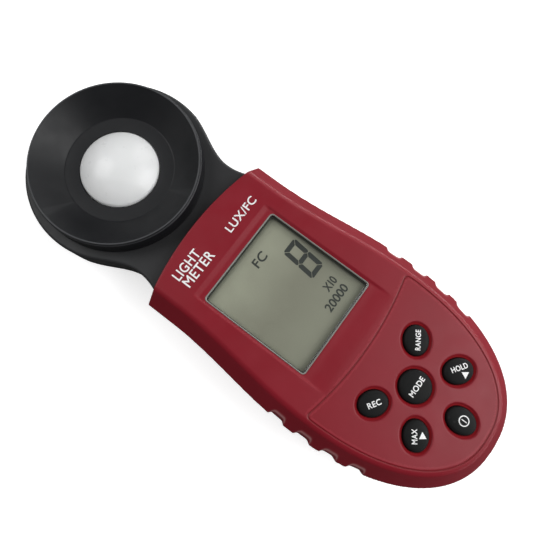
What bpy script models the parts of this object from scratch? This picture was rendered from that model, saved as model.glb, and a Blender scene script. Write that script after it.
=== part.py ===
"""Handheld light meter: a sensor head with a white dome on a flared neck, and a keypad body.

Lengths are in millimetres and are scaled to metres when a mesh is made. The meter lies on its
back: +Z is up out of the keypad face, +Y runs along the body to the sensor head, +X is to the
right. The origin is under the middle of the meter, on the surface that it lies on.
"""
import math

import bmesh
import bpy
from mathutils import Matrix, Vector

MM = 0.001
GAP = 0.3

# Overall heights
FACE_Z = 26.0
PARTING_Z = 19.0
BODY_FLOOR = 3.2
BODY_ROOF = 23.5
WALL = 2.0

# Body outline, seen from above
TAIL_Y = -81.0
BULGE_Y = -32.7
BULGE_HALF = 30.0
WAIST_Y = 12.0
WAIST_HALF = 26.5
TAIL_POWER = 2.27
FACET_INSET = 4.9
BODY_END_Y = 24.2

# Seam between the red shell and the black neck
SEAM_APEX_Y = 23.15
SEAM_CORNER_Y = 20.6
SEAM_CORNER_X = 21.6

# Sensor head and neck
HEAD_Y = 52.5
HEAD_RADIUS = 28.4
HEAD_OUTLINE_Y = 52.6
NECK_BLEND_Y = 45.0
NECK_BLEND_HALF = 27.3
NECK_BLEND_SLOPE = 0.30
NECK_WAIST_Y = 28.0
NECK_WAIST_HALF = 20.8
NECK_ROOT_Y = 21.3
NECK_ROOT_HALF = 22.2
TONGUE_END_Y = 15.5
HEAD_TOP_Z = 21.65
HEAD_PARTING_Z = 14.0
HEAD_BOTTOM_Z = 7.5
HEAD_CAVITY_FLOOR = 9.5
HEAD_CAVITY_ROOF = 19.4
SENSOR_WINDOW_RADIUS = 17.3
SENSOR_BOARD_RADIUS = 20.9
DIODE_HALF = 5.0
FILTER_RADIUS = 5.5

# Hood and diffuser
HOOD_RADIUS = 25.5
HOOD_TOP_Z = 28.2
HOOD_LIP_INNER = 24.1
HOOD_FLOOR_RADIUS = 16.3
HOOD_FLOOR_Z = 22.3
DOME_RADIUS = 11.66
DOME_EDGE_Z = 22.5
DOME_CROWN_Z = 26.8
DOME_WALL = 1.56
DOME_FLANGE_RADIUS = 13.5

# Display
DISPLAY_Y = -9.6
DISPLAY_HALF = (15.6, 17.05)
DISPLAY_LEDGE = 0.5
LENS_Z = (24.4, 25.5)
LCD_HALF = (16.9, 18.6)
LCD_Z = (20.9, 23.2)

# Circuit board
BOARD_Z = (17.0, 18.6)
BOARD_HALF = 18.3
BOARD_END_Y = 11.0
BOARD_INSET = 6.0

# Keys: name, place, half axes of the cap
KEY_MODE_Y = -52.4
KEY_ROUND = (4.5, 4.5)
KEY_OVAL = (4.18, 3.43)
KEYS = {
    "mode": ((0.0, KEY_MODE_Y), KEY_ROUND),
    "range": ((10.46, -45.8), KEY_OVAL),
    "rec": ((-10.46, -45.8), KEY_OVAL),
    "hold": ((10.43, -59.5), KEY_OVAL),
    "max": ((-10.43, -59.5), KEY_OVAL),
    "power": ((0.0, -67.1), KEY_OVAL),
}
KEY_CROWN_Z = 26.9
KEY_EDGE_Z = 25.7
KEY_FLANGE_Z = (20.35, 21.5)
KEY_FLANGE_OUT = 1.2
KEY_RECESS_OUT = 0.92
KEY_HOLE_OUT = 0.35
KEY_RECESS_Z = 25.4
PILL_RADIUS = 1.8
PILL_Z = (19.75, 20.05)
MAT_Z = (18.9, 20.9)

# Batteries
CELL_RADIUS = 5.2
CELL_LENGTH = 44.5
CELL_PITCH = 10.9
CELL_Z = 8.2
WELL_HALF = 16.6
WELL_Y = (-66.0, -14.6)
WELL_TOP = 14.2
WELL_WALL = 1.4
COVER_HALF = 17.7
COVER_END_Y = -14.2
COVER_TOP = 2.0
TONGUE_OUT = 1.5
TONGUE_Z = (1.2, 2.0)
TONGUE_Y = (-60.0, -16.0)

# Screws: places and sizes
CASE_SCREWS = ((19.9, 12.2), (-19.9, 12.2), (22.8, -40.0), (-22.8, -40.0))
BOARD_SCREWS = ((14.5, -33.5), (-14.5, -33.5))
HEAD_SCREWS = ((0.0, 76.5), (13.0, 27.0), (-13.0, 27.0))
SENSOR_SCREW_RADIUS = 18.9
SENSOR_SCREW_ANGLES = (90.0, 210.0, 330.0)
CASE_SHOULDER_Z = 9.0
CASE_BOSS_RADIUS = 2.5
CASE_HOLE_RADIUS = 1.4
CASE_HOLE_TOP = 23.1
BOARD_BOSS_RADIUS = 2.2
BOARD_SCREW_HOLE_RADIUS = 1.1
BOARD_HOLE_TOP = 22.3
HEAD_BOSS_RADIUS = 2.6
HEAD_HOLE_RADIUS = 1.3
HEAD_HOLE_TOP = 18.9
SENSOR_HOLE_RADIUS = 1.1
SCREW_HEAD_ROOM_RADIUS = 2.4

# Scallops along both sides of the grip
SCALLOP_Y = (-27.9, -36.8, -45.2, -53.4)
SCALLOP_HALF = (2.8, 1.0)
SCALLOP_Z = (10.0, 27.0)

for old_object in list(bpy.data.objects):
    bpy.data.objects.remove(old_object)


def new_collection(name):
    collection = bpy.data.collections.new(name)
    bpy.context.scene.collection.children.link(collection)
    return collection


PARTS = new_collection("light_meter")
CUTTERS = new_collection("cutters")


def make_material(name, colour, roughness, metallic=0.0):
    material = bpy.data.materials.new(name)
    material.use_nodes = True
    shader = material.node_tree.nodes["Principled BSDF"]
    shader.inputs["Base Color"].default_value = (*colour, 1.0)
    shader.inputs["Roughness"].default_value = roughness
    shader.inputs["Metallic"].default_value = metallic
    return material


RED = make_material("red_plastic", (0.27, 0.018, 0.026), 0.42)
BLACK = make_material("black_plastic", (0.018, 0.019, 0.02), 0.38)
RUBBER = make_material("key_rubber", (0.02, 0.02, 0.02), 0.55)
WHITE = make_material("opal_plastic", (0.8, 0.8, 0.82), 0.35)
CLEAR = make_material("clear_plastic", (0.7, 0.74, 0.7), 0.08)
GLASS = make_material("lcd_glass", (0.33, 0.34, 0.27), 0.15)
BOARD = make_material("circuit_board", (0.02, 0.14, 0.05), 0.45)
STEEL = make_material("steel", (0.55, 0.55, 0.56), 0.3, 1.0)
BRASS = make_material("plated_contact", (0.62, 0.58, 0.48), 0.3, 1.0)
CARBON = make_material("carbon", (0.03, 0.03, 0.03), 0.7)
FILTER = make_material("filter_glass", (0.1, 0.4, 0.3), 0.1)
CELL = make_material("cell_sleeve", (0.05, 0.07, 0.16), 0.3)
LEAD_RED = make_material("red_lead", (0.5, 0.03, 0.03), 0.5)
LEAD_BLACK = make_material("black_lead", (0.03, 0.03, 0.03), 0.5)
CREAM = make_material("cream_nylon", (0.75, 0.72, 0.62), 0.5)


def add_object(name, mesh, material):
    """Places a mesh as a part, or as a hidden cutter where it has no material."""
    obj = bpy.data.objects.new(name, mesh)
    if material:
        mesh.materials.append(material)
        PARTS.objects.link(obj)
    else:
        obj.hide_render = True
        obj.display_type = "WIRE"
        CUTTERS.objects.link(obj)
    return obj


def mesh_from(name, shape):
    """Turns a bmesh in millimetres into a mesh in metres."""
    bmesh.ops.scale(shape, vec=(MM, MM, MM), verts=shape.verts)
    mesh = bpy.data.meshes.new(name)
    shape.to_mesh(mesh)
    shape.free()
    return mesh


def shade(obj, angle=35.0):
    obj.data.shade_smooth()
    obj.data.set_sharp_from_angle(angle=math.radians(angle))
    return obj


def box(name, low, high, material=None):
    shape = bmesh.new()
    bmesh.ops.create_cube(shape, size=1.0)
    size = [top - bottom for bottom, top in zip(low, high)]
    middle = [(top + bottom) / 2 for bottom, top in zip(low, high)]
    bmesh.ops.scale(shape, vec=size, verts=shape.verts)
    bmesh.ops.translate(shape, vec=middle, verts=shape.verts)
    return add_object(name, mesh_from(name, shape), material)


def cylinder(name, at, radius, heights, material=None, segments=18, stretch=1.0, turn=0.0):
    """An upright cylinder; stretch shortens its second axis, turn rotates it about Z."""
    low, high = heights
    shape = bmesh.new()
    bmesh.ops.create_cone(
        shape, cap_ends=True, segments=segments, radius1=radius, radius2=radius, depth=high - low
    )
    bmesh.ops.scale(shape, vec=(1.0, stretch, 1.0), verts=shape.verts)
    bmesh.ops.rotate(shape, matrix=Matrix.Rotation(turn, 3, "Z"), verts=shape.verts)
    bmesh.ops.translate(shape, vec=(at[0], at[1], (low + high) / 2), verts=shape.verts)
    return shade(add_object(name, mesh_from(name, shape), material))


def turned(name, profile, material=None, steps=32, at=(0.0, 0.0), closed=True):
    """A profile of (radius, height) points turned about the upright axis at a place."""
    shape = bmesh.new()
    points = [shape.verts.new((radius, 0.0, height)) for radius, height in profile]
    for first, second in zip(points, points[1:]):
        shape.edges.new((first, second))
    if closed:
        shape.edges.new((points[-1], points[0]))
    obj = add_object(name, mesh_from(name, shape), material)
    obj.location = (at[0] * MM, at[1] * MM, 0.0)
    screw = obj.modifiers.new("turn", "SCREW")
    screw.steps = steps
    screw.render_steps = steps
    screw.use_merge_vertices = True
    screw.merge_threshold = 0.00001
    return obj


def loft(name, sections, material=None):
    """A closed solid through rings of equal length, given from the lowest to the highest."""
    shape = bmesh.new()
    rings = [[shape.verts.new(point) for point in section] for section in sections]
    for lower, upper in zip(rings, rings[1:]):
        for i in range(len(lower)):
            j = (i + 1) % len(lower)
            shape.faces.new((lower[i], lower[j], upper[j], upper[i]))
    shape.faces.new(reversed(rings[0]))
    shape.faces.new(rings[-1])
    return shade(add_object(name, mesh_from(name, shape), material), 25.0)


def plate(name, outline, heights, material=None):
    """A flat outline, extruded between two heights."""
    low, high = heights
    curve = bpy.data.curves.new(name + "_outline", "CURVE")
    curve.dimensions = "2D"
    curve.fill_mode = "BOTH"
    curve.extrude = (high - low) / 2 * MM
    spline = curve.splines.new("POLY")
    spline.points.add(len(outline) - 1)
    for point, (x, y) in zip(spline.points, outline):
        point.co = (x * MM, y * MM, 0.0, 1.0)
    spline.use_cyclic_u = True
    drawn = bpy.data.objects.new(name + "_outline", curve)
    bpy.context.scene.collection.objects.link(drawn)
    drawn.location.z = (low + high) / 2 * MM
    bpy.context.view_layer.update()
    evaluated = drawn.evaluated_get(bpy.context.evaluated_depsgraph_get())
    mesh = bpy.data.meshes.new_from_object(evaluated)
    shape = bmesh.new()
    shape.from_mesh(mesh)
    bmesh.ops.remove_doubles(shape, verts=shape.verts, dist=0.00001)
    shape.to_mesh(mesh)
    shape.free()
    mesh.materials.clear()
    obj = add_object(name, mesh, material)
    obj.matrix_world = drawn.matrix_world
    bpy.data.objects.remove(drawn)
    return obj


def wire(name, points, radius, material):
    """A round wire through a list of points."""
    curve = bpy.data.curves.new(name, "CURVE")
    curve.dimensions = "3D"
    curve.bevel_depth = radius * MM
    curve.bevel_resolution = 2
    curve.use_fill_caps = True
    spline = curve.splines.new("POLY")
    spline.points.add(len(points) - 1)
    for point, place in zip(spline.points, points):
        point.co = (*(Vector(place) * MM), 1.0)
    curve.materials.append(material)
    obj = bpy.data.objects.new(name, curve)
    PARTS.objects.link(obj)
    return obj


def combine(target, operation, others):
    """Adds one Boolean modifier for each of the other objects."""
    for other in others:
        modifier = target.modifiers.new(other.name, "BOOLEAN")
        modifier.operation = operation
        modifier.object = other
        modifier.solver = "EXACT"
    return target


def cut(target, *cutters):
    return combine(target, "DIFFERENCE", cutters)


def join(target, *additions):
    return combine(target, "UNION", additions)


def level(outline, height):
    return [(x, y, height) for x, y in outline]


def body_half_width(y):
    """Half the body's width between its waist and its widest place."""
    along = min(max((y - BULGE_Y) / (WAIST_Y - BULGE_Y), 0.0), 1.0)
    ease = (1.0 + math.cos(math.pi * along)) / 2
    return WAIST_HALF + (BULGE_HALF - WAIST_HALF) * ease


def body_right_side():
    """The right side of the body's outline, from the middle of the tail to the head end."""
    tail_length = BULGE_Y - TAIL_Y
    tail_steps = 12
    side = []
    for i in range(tail_steps):
        angle = math.pi / 2 * i / tail_steps
        x = BULGE_HALF * math.sin(angle) ** (2.0 / TAIL_POWER)
        y = BULGE_Y - tail_length * math.cos(angle) ** (2.0 / TAIL_POWER)
        side.append((x, y))
    side_steps = 9
    for i in range(side_steps + 1):
        y = BULGE_Y + (BODY_END_Y - BULGE_Y) * i / side_steps
        side.append((body_half_width(y), y))
    return side


def head_right_side(end_y):
    """The right side of the head and neck, from the neck's end up to the top of the head."""
    side = [(NECK_ROOT_HALF, end_y)]
    for i in range(4):
        along = i / 4
        y = NECK_ROOT_Y + (NECK_WAIST_Y - NECK_ROOT_Y) * along
        side.append((NECK_WAIST_HALF + (NECK_ROOT_HALF - NECK_WAIST_HALF) * (1 - along) ** 2, y))
    length = NECK_BLEND_Y - NECK_WAIST_Y
    blend_steps = 6
    for i in range(blend_steps):
        t = i / blend_steps
        from_waist = NECK_WAIST_HALF * (2 * t**3 - 3 * t**2 + 1)
        from_head = NECK_BLEND_HALF * (3 * t**2 - 2 * t**3)
        x = from_waist + from_head + NECK_BLEND_SLOPE * length * (t**3 - t**2)
        side.append((x, NECK_WAIST_Y + length * t))
    start = math.asin((NECK_BLEND_Y - HEAD_OUTLINE_Y) / HEAD_RADIUS)
    arc_steps = 12
    for i in range(arc_steps + 1):
        angle = start + (math.pi / 2 - start) * i / arc_steps
        x = HEAD_RADIUS * math.cos(angle)
        side.append((x, HEAD_OUTLINE_Y + HEAD_RADIUS * math.sin(angle)))
    return side


def inset(side, distance):
    """Moves a half outline that runs anticlockwise inwards, keeping its ends on their lines."""
    moved = []
    for i, (x, y) in enumerate(side):
        before = side[max(i - 1, 0)]
        after = side[min(i + 1, len(side) - 1)]
        along = Vector((after[0] - before[0], after[1] - before[1]))
        if abs(x) < 0.001:
            along = Vector((1.0 if y < 0 else -1.0, 0.0))
        elif i in (0, len(side) - 1):
            along = Vector((0.0, 1.0))
        along.normalize()
        moved.append((x - along.y * distance, y + along.x * distance))
    return moved


def mirrored(side):
    """Closes a half outline with its mirror image."""
    return side + [(-x, y) for x, y in reversed(side) if abs(x) > 0.001]


def body_outline(distance, end_y=BODY_END_Y, most=BULGE_HALF):
    """The body's outline moved inwards, ended at a height and no wider than a limit."""
    side = inset(body_right_side(), distance)
    return mirrored([(min(x, most), min(y, end_y)) for x, y in side])


def head_outline(distance, end_y=TONGUE_END_Y):
    return mirrored(inset(head_right_side(end_y), distance))


def seam_cutter(name):
    """What the body shells lose beyond their arched seam with the neck."""
    rise = SEAM_APEX_Y - SEAM_CORNER_Y
    radius = (SEAM_CORNER_X**2 + rise**2) / (2 * rise)
    centre_y = SEAM_APEX_Y - radius
    half_angle = math.asin(SEAM_CORNER_X / radius)
    steps = 16
    clear_x = BULGE_HALF + 5.0
    clear_y = HEAD_Y
    outline = [(clear_x, clear_y), (-clear_x, clear_y), (-clear_x, SEAM_CORNER_Y)]
    for i in range(steps + 1):
        angle = -half_angle + 2 * half_angle * i / steps
        outline.append((radius * math.sin(angle), centre_y + radius * math.cos(angle)))
    outline.append((clear_x, SEAM_CORNER_Y))
    return plate(name, outline, (-2.0, FACE_Z + 4.0))


def neck_cutter(name):
    """The neck's passage through the end walls of the body."""
    outline = head_outline(-GAP, TONGUE_END_Y - GAP)
    return plate(name, outline, (HEAD_BOTTOM_Z - GAP, HEAD_TOP_Z + GAP))


def scallop_cutters(name):
    """Four shallow finger scallops on each side, cut across the parting line."""
    cutters = []
    for y in SCALLOP_Y:
        if y > BULGE_Y:
            x = body_half_width(y)
            slope = (body_half_width(y + 0.1) - body_half_width(y - 0.1)) / 0.2
        else:
            tail = BULGE_Y - TAIL_Y
            reach = ((BULGE_Y - y) / tail) ** TAIL_POWER
            x = BULGE_HALF * (1 - reach) ** (1 / TAIL_POWER)
            slope = reach / (1 - reach) * x / (BULGE_Y - y)
        for side in (1, -1):
            turn = math.pi / 2 - side * math.atan(slope)
            label = f"{name}_{'right' if side > 0 else 'left'}_{-int(y)}"
            cutters.append(
                cylinder(
                    label,
                    (side * x, y),
                    SCALLOP_HALF[0],
                    SCALLOP_Z,
                    segments=12,
                    stretch=SCALLOP_HALF[1] / SCALLOP_HALF[0],
                    turn=turn,
                )
            )
    return cutters


def key_turn(place):
    """The angle of a key's long axis, which points away from the middle key."""
    x, y = place
    if abs(x) < 0.001 and abs(y - KEY_MODE_Y) < 0.001:
        return 0.0
    return math.atan2(y - KEY_MODE_Y, x)


def key_cylinder(name, place, half, grown, heights, segments=20):
    """An upright cylinder with a key's outline, grown all round."""
    radius = half[0] + grown
    stretch = (half[1] + grown) / radius
    return cylinder(
        name, place, radius, heights, segments=segments, stretch=stretch, turn=key_turn(place)
    )


def make_front_shell():
    facet_top = FACE_Z - 0.35
    facet_top_inset = FACET_INSET - 0.25
    shell = loft(
        "front_shell",
        [
            level(body_outline(0.0), PARTING_Z + GAP / 2),
            level(body_outline(facet_top_inset), facet_top),
            level(body_outline(FACET_INSET + 0.2), FACE_Z),
        ],
        RED,
    )
    inner_wall = 2.4
    slope = FACET_INSET / (FACE_Z - PARTING_Z)
    inner_top = inner_wall + (BODY_ROOF - PARTING_Z) * slope
    inner_end = SEAM_CORNER_Y - WALL
    cavity = loft(
        "front_cavity",
        [
            level(body_outline(inner_wall, inner_end), PARTING_Z - 1.0),
            level(body_outline(inner_wall, inner_end), PARTING_Z),
            level(body_outline(inner_top, inner_end), BODY_ROOF),
        ],
    )
    cut(shell, seam_cutter("front_seam"), cavity)
    for i, place in enumerate(CASE_SCREWS):
        boss_heights = (PARTING_Z + GAP / 2, BODY_ROOF + 0.2)
        join(shell, cylinder(f"front_boss_{i}", place, CASE_BOSS_RADIUS, boss_heights))
        hole_heights = (PARTING_Z - 1.0, CASE_HOLE_TOP)
        hole = cylinder(f"front_boss_hole_{i}", place, CASE_HOLE_RADIUS, hole_heights, segments=16)
        cut(shell, hole)
    for i, place in enumerate(BOARD_SCREWS):
        base = BOARD_Z[1] + GAP
        boss_heights = (base, BODY_ROOF + 0.2)
        boss = cylinder(f"board_boss_{i}", place, BOARD_BOSS_RADIUS, boss_heights, segments=20)
        join(shell, boss)
        hole_heights = (base - 1.0, BOARD_HOLE_TOP)
        radius = BOARD_SCREW_HOLE_RADIUS
        cut(shell, cylinder(f"board_boss_hole_{i}", place, radius, hole_heights, segments=12))
    cut(shell, neck_cutter("front_neck_notch"))
    half_x, half_y = DISPLAY_HALF
    opening = box(
        "display_opening",
        (-half_x - GAP, DISPLAY_Y - half_y - GAP, LENS_Z[0] - GAP),
        (half_x + GAP, DISPLAY_Y + half_y + GAP, FACE_Z + 1.0),
    )
    sight = box(
        "display_sight",
        (-half_x + DISPLAY_LEDGE, DISPLAY_Y - half_y + DISPLAY_LEDGE, BODY_ROOF - 1.0),
        (half_x - DISPLAY_LEDGE, DISPLAY_Y + half_y - DISPLAY_LEDGE, FACE_Z),
    )
    cut(shell, opening, sight)
    for name, (place, half) in KEYS.items():
        recess_heights = (KEY_RECESS_Z, FACE_Z + 1.0)
        hole_heights = (BODY_ROOF - 1.0, FACE_Z)
        cut(
            shell,
            key_cylinder(f"recess_{name}", place, half, KEY_RECESS_OUT, recess_heights),
            key_cylinder(f"hole_{name}", place, half, KEY_HOLE_OUT, hole_heights),
        )
    cut(shell, *scallop_cutters("front_scallop"))
    return shell


def rear_outside(name, material=None):
    """The rear shell's outer form, with its rolled bottom edge."""
    edges = ((4.0, 0.0), (2.3, 0.9), (1.2, 2.8), (0.5, 8.0), (0.0, PARTING_Z - GAP / 2))
    return loft(name, [level(body_outline(distance), height) for distance, height in edges], material)


def make_rear_shell():
    shell = rear_outside("rear_shell", RED)
    inner_end = SEAM_CORNER_Y - WALL
    cavity_edges = ((4.4, BODY_FLOOR), (3.0, 5.5), (2.4, 9.0), (2.0, PARTING_Z + 1.0))
    cavity = loft(
        "rear_cavity",
        [level(body_outline(distance, inner_end), height) for distance, height in cavity_edges],
    )
    well = box(
        "well_walls",
        (-WELL_HALF - WELL_WALL, WELL_Y[0] - WELL_WALL, BODY_FLOOR - 0.5),
        (WELL_HALF + WELL_WALL, WELL_Y[1] + WELL_WALL, WELL_TOP + 1.1),
    )
    well_space = box(
        "well_space", (-WELL_HALF, WELL_Y[0], -1.0), (WELL_HALF, WELL_Y[1], WELL_TOP)
    )
    cover_slot = box(
        "cover_slot",
        (-COVER_HALF - GAP, TAIL_Y - 5.0, -1.0),
        (COVER_HALF + GAP, COVER_END_Y + GAP, COVER_TOP + GAP),
    )
    rail_slot = box(
        "rail_slot",
        (-COVER_HALF - TONGUE_OUT - GAP, TAIL_Y - 5.0, TONGUE_Z[0] - GAP),
        (COVER_HALF + TONGUE_OUT + GAP, TONGUE_Y[1] + GAP, COVER_TOP + GAP),
    )
    cut(shell, seam_cutter("rear_seam"), cavity)
    join(shell, well)
    for i, place in enumerate(CASE_SCREWS):
        top = PARTING_Z - GAP / 2
        join(shell, cylinder(f"rear_boss_{i}", place, 2.8, (BODY_FLOOR - 1.0, top)))
        recess_heights = (-1.0, CASE_SHOULDER_Z)
        recess = cylinder(f"screw_recess_{i}", place, SCREW_HEAD_ROOM_RADIUS, recess_heights)
        passage_heights = (CASE_SHOULDER_Z - 1.0, PARTING_Z + 1.0)
        radius = CASE_HOLE_RADIUS
        cut(shell, recess, cylinder(f"screw_passage_{i}", place, radius, passage_heights, segments=16))
    cut(shell, well_space, cover_slot, rail_slot, neck_cutter("rear_neck_notch"))
    cut(shell, *scallop_cutters("rear_scallop"))
    return shell


def make_battery_cover():
    """A cover that slides off towards the tail, on a tongue along each side."""
    cover = rear_outside("battery_cover", RED)
    limits = box(
        "cover_limits", (-COVER_HALF, TAIL_Y - 5.0, -1.0), (COVER_HALF, COVER_END_Y, COVER_TOP)
    )
    combine(cover, "INTERSECT", [limits])
    for side in (1, -1):
        edges = sorted((side * (COVER_HALF - 0.5), side * (COVER_HALF + TONGUE_OUT)))
        tongue = box(
            f"cover_tongue_{'right' if side > 0 else 'left'}",
            (edges[0], TONGUE_Y[0], TONGUE_Z[0]),
            (edges[1], TONGUE_Y[1], TONGUE_Z[1]),
        )
        join(cover, tongue)
    for i in range(5):
        y = -20.0 - 2.2 * i
        cut(cover, box(f"thumb_groove_{i}", (-7.0, y - 0.5, -1.0), (7.0, y + 0.5, 0.6)))
    return cover


def make_head_plate():
    """The black upper half of the head and neck."""
    edges = (
        (0.0, HEAD_PARTING_Z + GAP / 2),
        (0.0, HEAD_TOP_Z - 0.9),
        (0.3, HEAD_TOP_Z - 0.3),
        (0.9, HEAD_TOP_Z),
    )
    upper = loft("head_plate", [level(head_outline(d), z) for d, z in edges], BLACK)
    cavity = plate(
        "head_plate_cavity",
        head_outline(WALL, TONGUE_END_Y - 2.0),
        (HEAD_PARTING_Z - 1.0, HEAD_CAVITY_ROOF),
    )
    window_heights = (HEAD_CAVITY_ROOF - 1.0, HEAD_TOP_Z + 1.0)
    window = cylinder(
        "sensor_window", (0.0, HEAD_Y), SENSOR_WINDOW_RADIUS, window_heights, segments=32
    )
    cut(upper, cavity, window)
    for i, place in enumerate(HEAD_SCREWS):
        boss_heights = (HEAD_PARTING_Z + GAP / 2, HEAD_CAVITY_ROOF + 0.2)
        join(upper, cylinder(f"head_boss_{i}", place, HEAD_BOSS_RADIUS, boss_heights, segments=20))
        hole_heights = (HEAD_PARTING_Z - 1.0, HEAD_HOLE_TOP)
        radius = HEAD_HOLE_RADIUS
        cut(upper, cylinder(f"head_boss_hole_{i}", place, radius, hole_heights, segments=16))
    for i, place in enumerate(sensor_screw_places()):
        radius = SENSOR_HOLE_RADIUS
        cut(upper, cylinder(f"plate_screw_hole_{i}", place, radius, window_heights, segments=12))
    return upper


def make_head_back():
    """The black lower half of the head and neck, with rolled edges."""
    edges = (
        (3.2, HEAD_BOTTOM_Z),
        (1.4, HEAD_BOTTOM_Z + 0.7),
        (0.4, HEAD_BOTTOM_Z + 2.2),
        (0.0, HEAD_BOTTOM_Z + 4.2),
        (0.0, HEAD_PARTING_Z - GAP / 2),
    )
    lower = loft("head_back", [level(head_outline(d), z) for d, z in edges], BLACK)
    cavity_edges = (
        (3.4, HEAD_CAVITY_FLOOR),
        (WALL, HEAD_CAVITY_FLOOR + 2.2),
        (WALL, HEAD_PARTING_Z + 1.0),
    )
    cavity = loft(
        "head_back_cavity",
        [level(head_outline(d, TONGUE_END_Y - 2.0), z) for d, z in cavity_edges],
    )
    cut(lower, cavity)
    shoulder = HEAD_BOTTOM_Z + 2.3
    for i, place in enumerate(HEAD_SCREWS):
        boss_heights = (HEAD_CAVITY_FLOOR - 0.5, HEAD_PARTING_Z - GAP / 2)
        join(lower, cylinder(f"back_boss_{i}", place, 3.2, boss_heights, segments=20))
        recess = cylinder(f"back_recess_{i}", place, 2.5, (HEAD_BOTTOM_Z - 1.0, shoulder))
        passage_heights = (shoulder - 1.0, HEAD_PARTING_Z + 1.0)
        radius = HEAD_HOLE_RADIUS
        cut(lower, recess, cylinder(f"back_passage_{i}", place, radius, passage_heights, segments=16))
    return lower


def sensor_screw_places():
    places = []
    for degrees in SENSOR_SCREW_ANGLES:
        angle = math.radians(degrees)
        x = SENSOR_SCREW_RADIUS * math.cos(angle)
        places.append((x, HEAD_Y + SENSOR_SCREW_RADIUS * math.sin(angle)))
    return places


def make_sensor_hood():
    """The funnel round the dome: an outer wall, a lip and a cone down to a flat floor."""
    base = HEAD_TOP_Z + GAP
    flange_base = HOOD_FLOOR_Z - 1.1
    bore = DOME_RADIUS + GAP
    profile = [
        (HOOD_LIP_INNER + 0.2, HOOD_TOP_Z),
        (HOOD_RADIUS - 0.75, HOOD_TOP_Z),
        (HOOD_RADIUS - 0.5, HOOD_TOP_Z - 0.25),
        (HOOD_RADIUS - 0.6, HOOD_TOP_Z - 0.6),
        (HOOD_RADIUS - 0.1, HOOD_TOP_Z - 0.75),
        (HOOD_RADIUS, base),
        (SENSOR_WINDOW_RADIUS - GAP, base),
        (SENSOR_WINDOW_RADIUS - GAP, flange_base),
        (bore, flange_base),
        (bore, HOOD_FLOOR_Z),
        (HOOD_FLOOR_RADIUS, HOOD_FLOOR_Z),
        (HOOD_LIP_INNER, HOOD_TOP_Z - 0.1),
    ]
    hood = turned("sensor_hood", profile, BLACK, steps=44, at=(0.0, HEAD_Y))
    for i, place in enumerate(sensor_screw_places()):
        heights = (base - 1.0, base + 1.45)
        radius = SENSOR_HOLE_RADIUS
        cut(hood, cylinder(f"hood_screw_hole_{i}", place, radius, heights, segments=12))
    return hood


def arc_points(radius, centre_z, start_x, steps):
    """Points on a sphere's profile from a radius out to the axis, or back."""
    start = math.asin(start_x / radius)
    angles = [start * i / steps for i in range(steps + 1)]
    return [(radius * math.sin(angle), centre_z + radius * math.cos(angle)) for angle in angles]


def make_diffuser_dome():
    """A hollow opal dome with a round flange, held under the hood's floor."""
    rise = DOME_CROWN_Z - DOME_EDGE_Z
    radius = (DOME_RADIUS**2 + rise**2) / (2 * rise)
    centre_z = DOME_CROWN_Z - radius
    flange_top = HOOD_FLOOR_Z - 1.1 - 0.25
    flange_base = flange_top - 0.85
    inner_radius = DOME_RADIUS - DOME_WALL
    outside = arc_points(radius, centre_z, DOME_RADIUS, 6)
    inside = arc_points(radius - DOME_WALL, centre_z, inner_radius, 3)
    profile = outside + [
        (DOME_RADIUS, flange_top),
        (DOME_FLANGE_RADIUS, flange_top),
        (DOME_FLANGE_RADIUS, flange_base),
        (inner_radius, flange_base),
    ]
    profile += reversed(inside)
    return turned("diffuser_dome", profile, WHITE, steps=30, at=(0.0, HEAD_Y), closed=False)


def make_sensor_inside():
    """Seal, filter, photodiode and the round board that carries them."""
    board_top = HEAD_CAVITY_ROOF - GAP
    board_heights = (board_top - 1.6, board_top)
    through = (board_top - 3.0, board_top + 1.0)
    centre = (0.0, HEAD_Y)
    board = cylinder("sensor_board", centre, SENSOR_BOARD_RADIUS, board_heights, BOARD, 32)
    for i, place in enumerate(sensor_screw_places()):
        radius = SENSOR_HOLE_RADIUS
        cut(board, cylinder(f"sensor_board_hole_{i}", place, radius, through, segments=12))
    seal_top = board_top + 0.75
    seal_base = board_top + 0.25
    seal_inner = DOME_RADIUS - 0.4
    seal_outer = DOME_FLANGE_RADIUS - 0.2
    seal_profile = [
        (seal_outer, seal_top),
        (seal_outer, seal_base),
        (seal_inner, seal_base),
        (seal_inner, seal_top),
    ]
    turned("dome_seal", seal_profile, RUBBER, steps=20, at=centre)
    diode_base = board_top + 0.25
    box(
        "photodiode",
        (-DIODE_HALF, HEAD_Y - DIODE_HALF, diode_base),
        (DIODE_HALF, HEAD_Y + DIODE_HALF, diode_base + 1.5),
        CREAM,
    )
    filter_base = diode_base + 1.8
    cylinder("colour_filter", centre, FILTER_RADIUS, (filter_base, filter_base + 0.8), FILTER)


def screw(name, place, head_base, head_radius, head_height, shank_radius, tip):
    """A pan-head screw pointing up, with a cross recess in its head."""
    head_top = head_base + head_height
    profile = [
        (0.0, tip),
        (shank_radius * 0.6, tip),
        (shank_radius, tip - shank_radius),
        (shank_radius, head_top),
        (head_radius, head_top),
        (head_radius, head_base + 0.3),
        (head_radius - 0.4, head_base),
        (0.0, head_base),
    ]
    body = turned(name, profile, STEEL, steps=10, at=place, closed=False)
    x, y = place
    arm = head_radius * 0.6
    half = 0.28
    bottom = head_base - 1.0
    recess_top = head_base + head_height * 0.5
    across = box(f"{name}_slot_a", (x - arm, y - half, bottom), (x + arm, y + half, recess_top))
    along = box(f"{name}_slot_b", (x - half, y - arm, bottom), (x + half, y + arm, recess_top))
    return cut(body, across, along)


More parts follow.
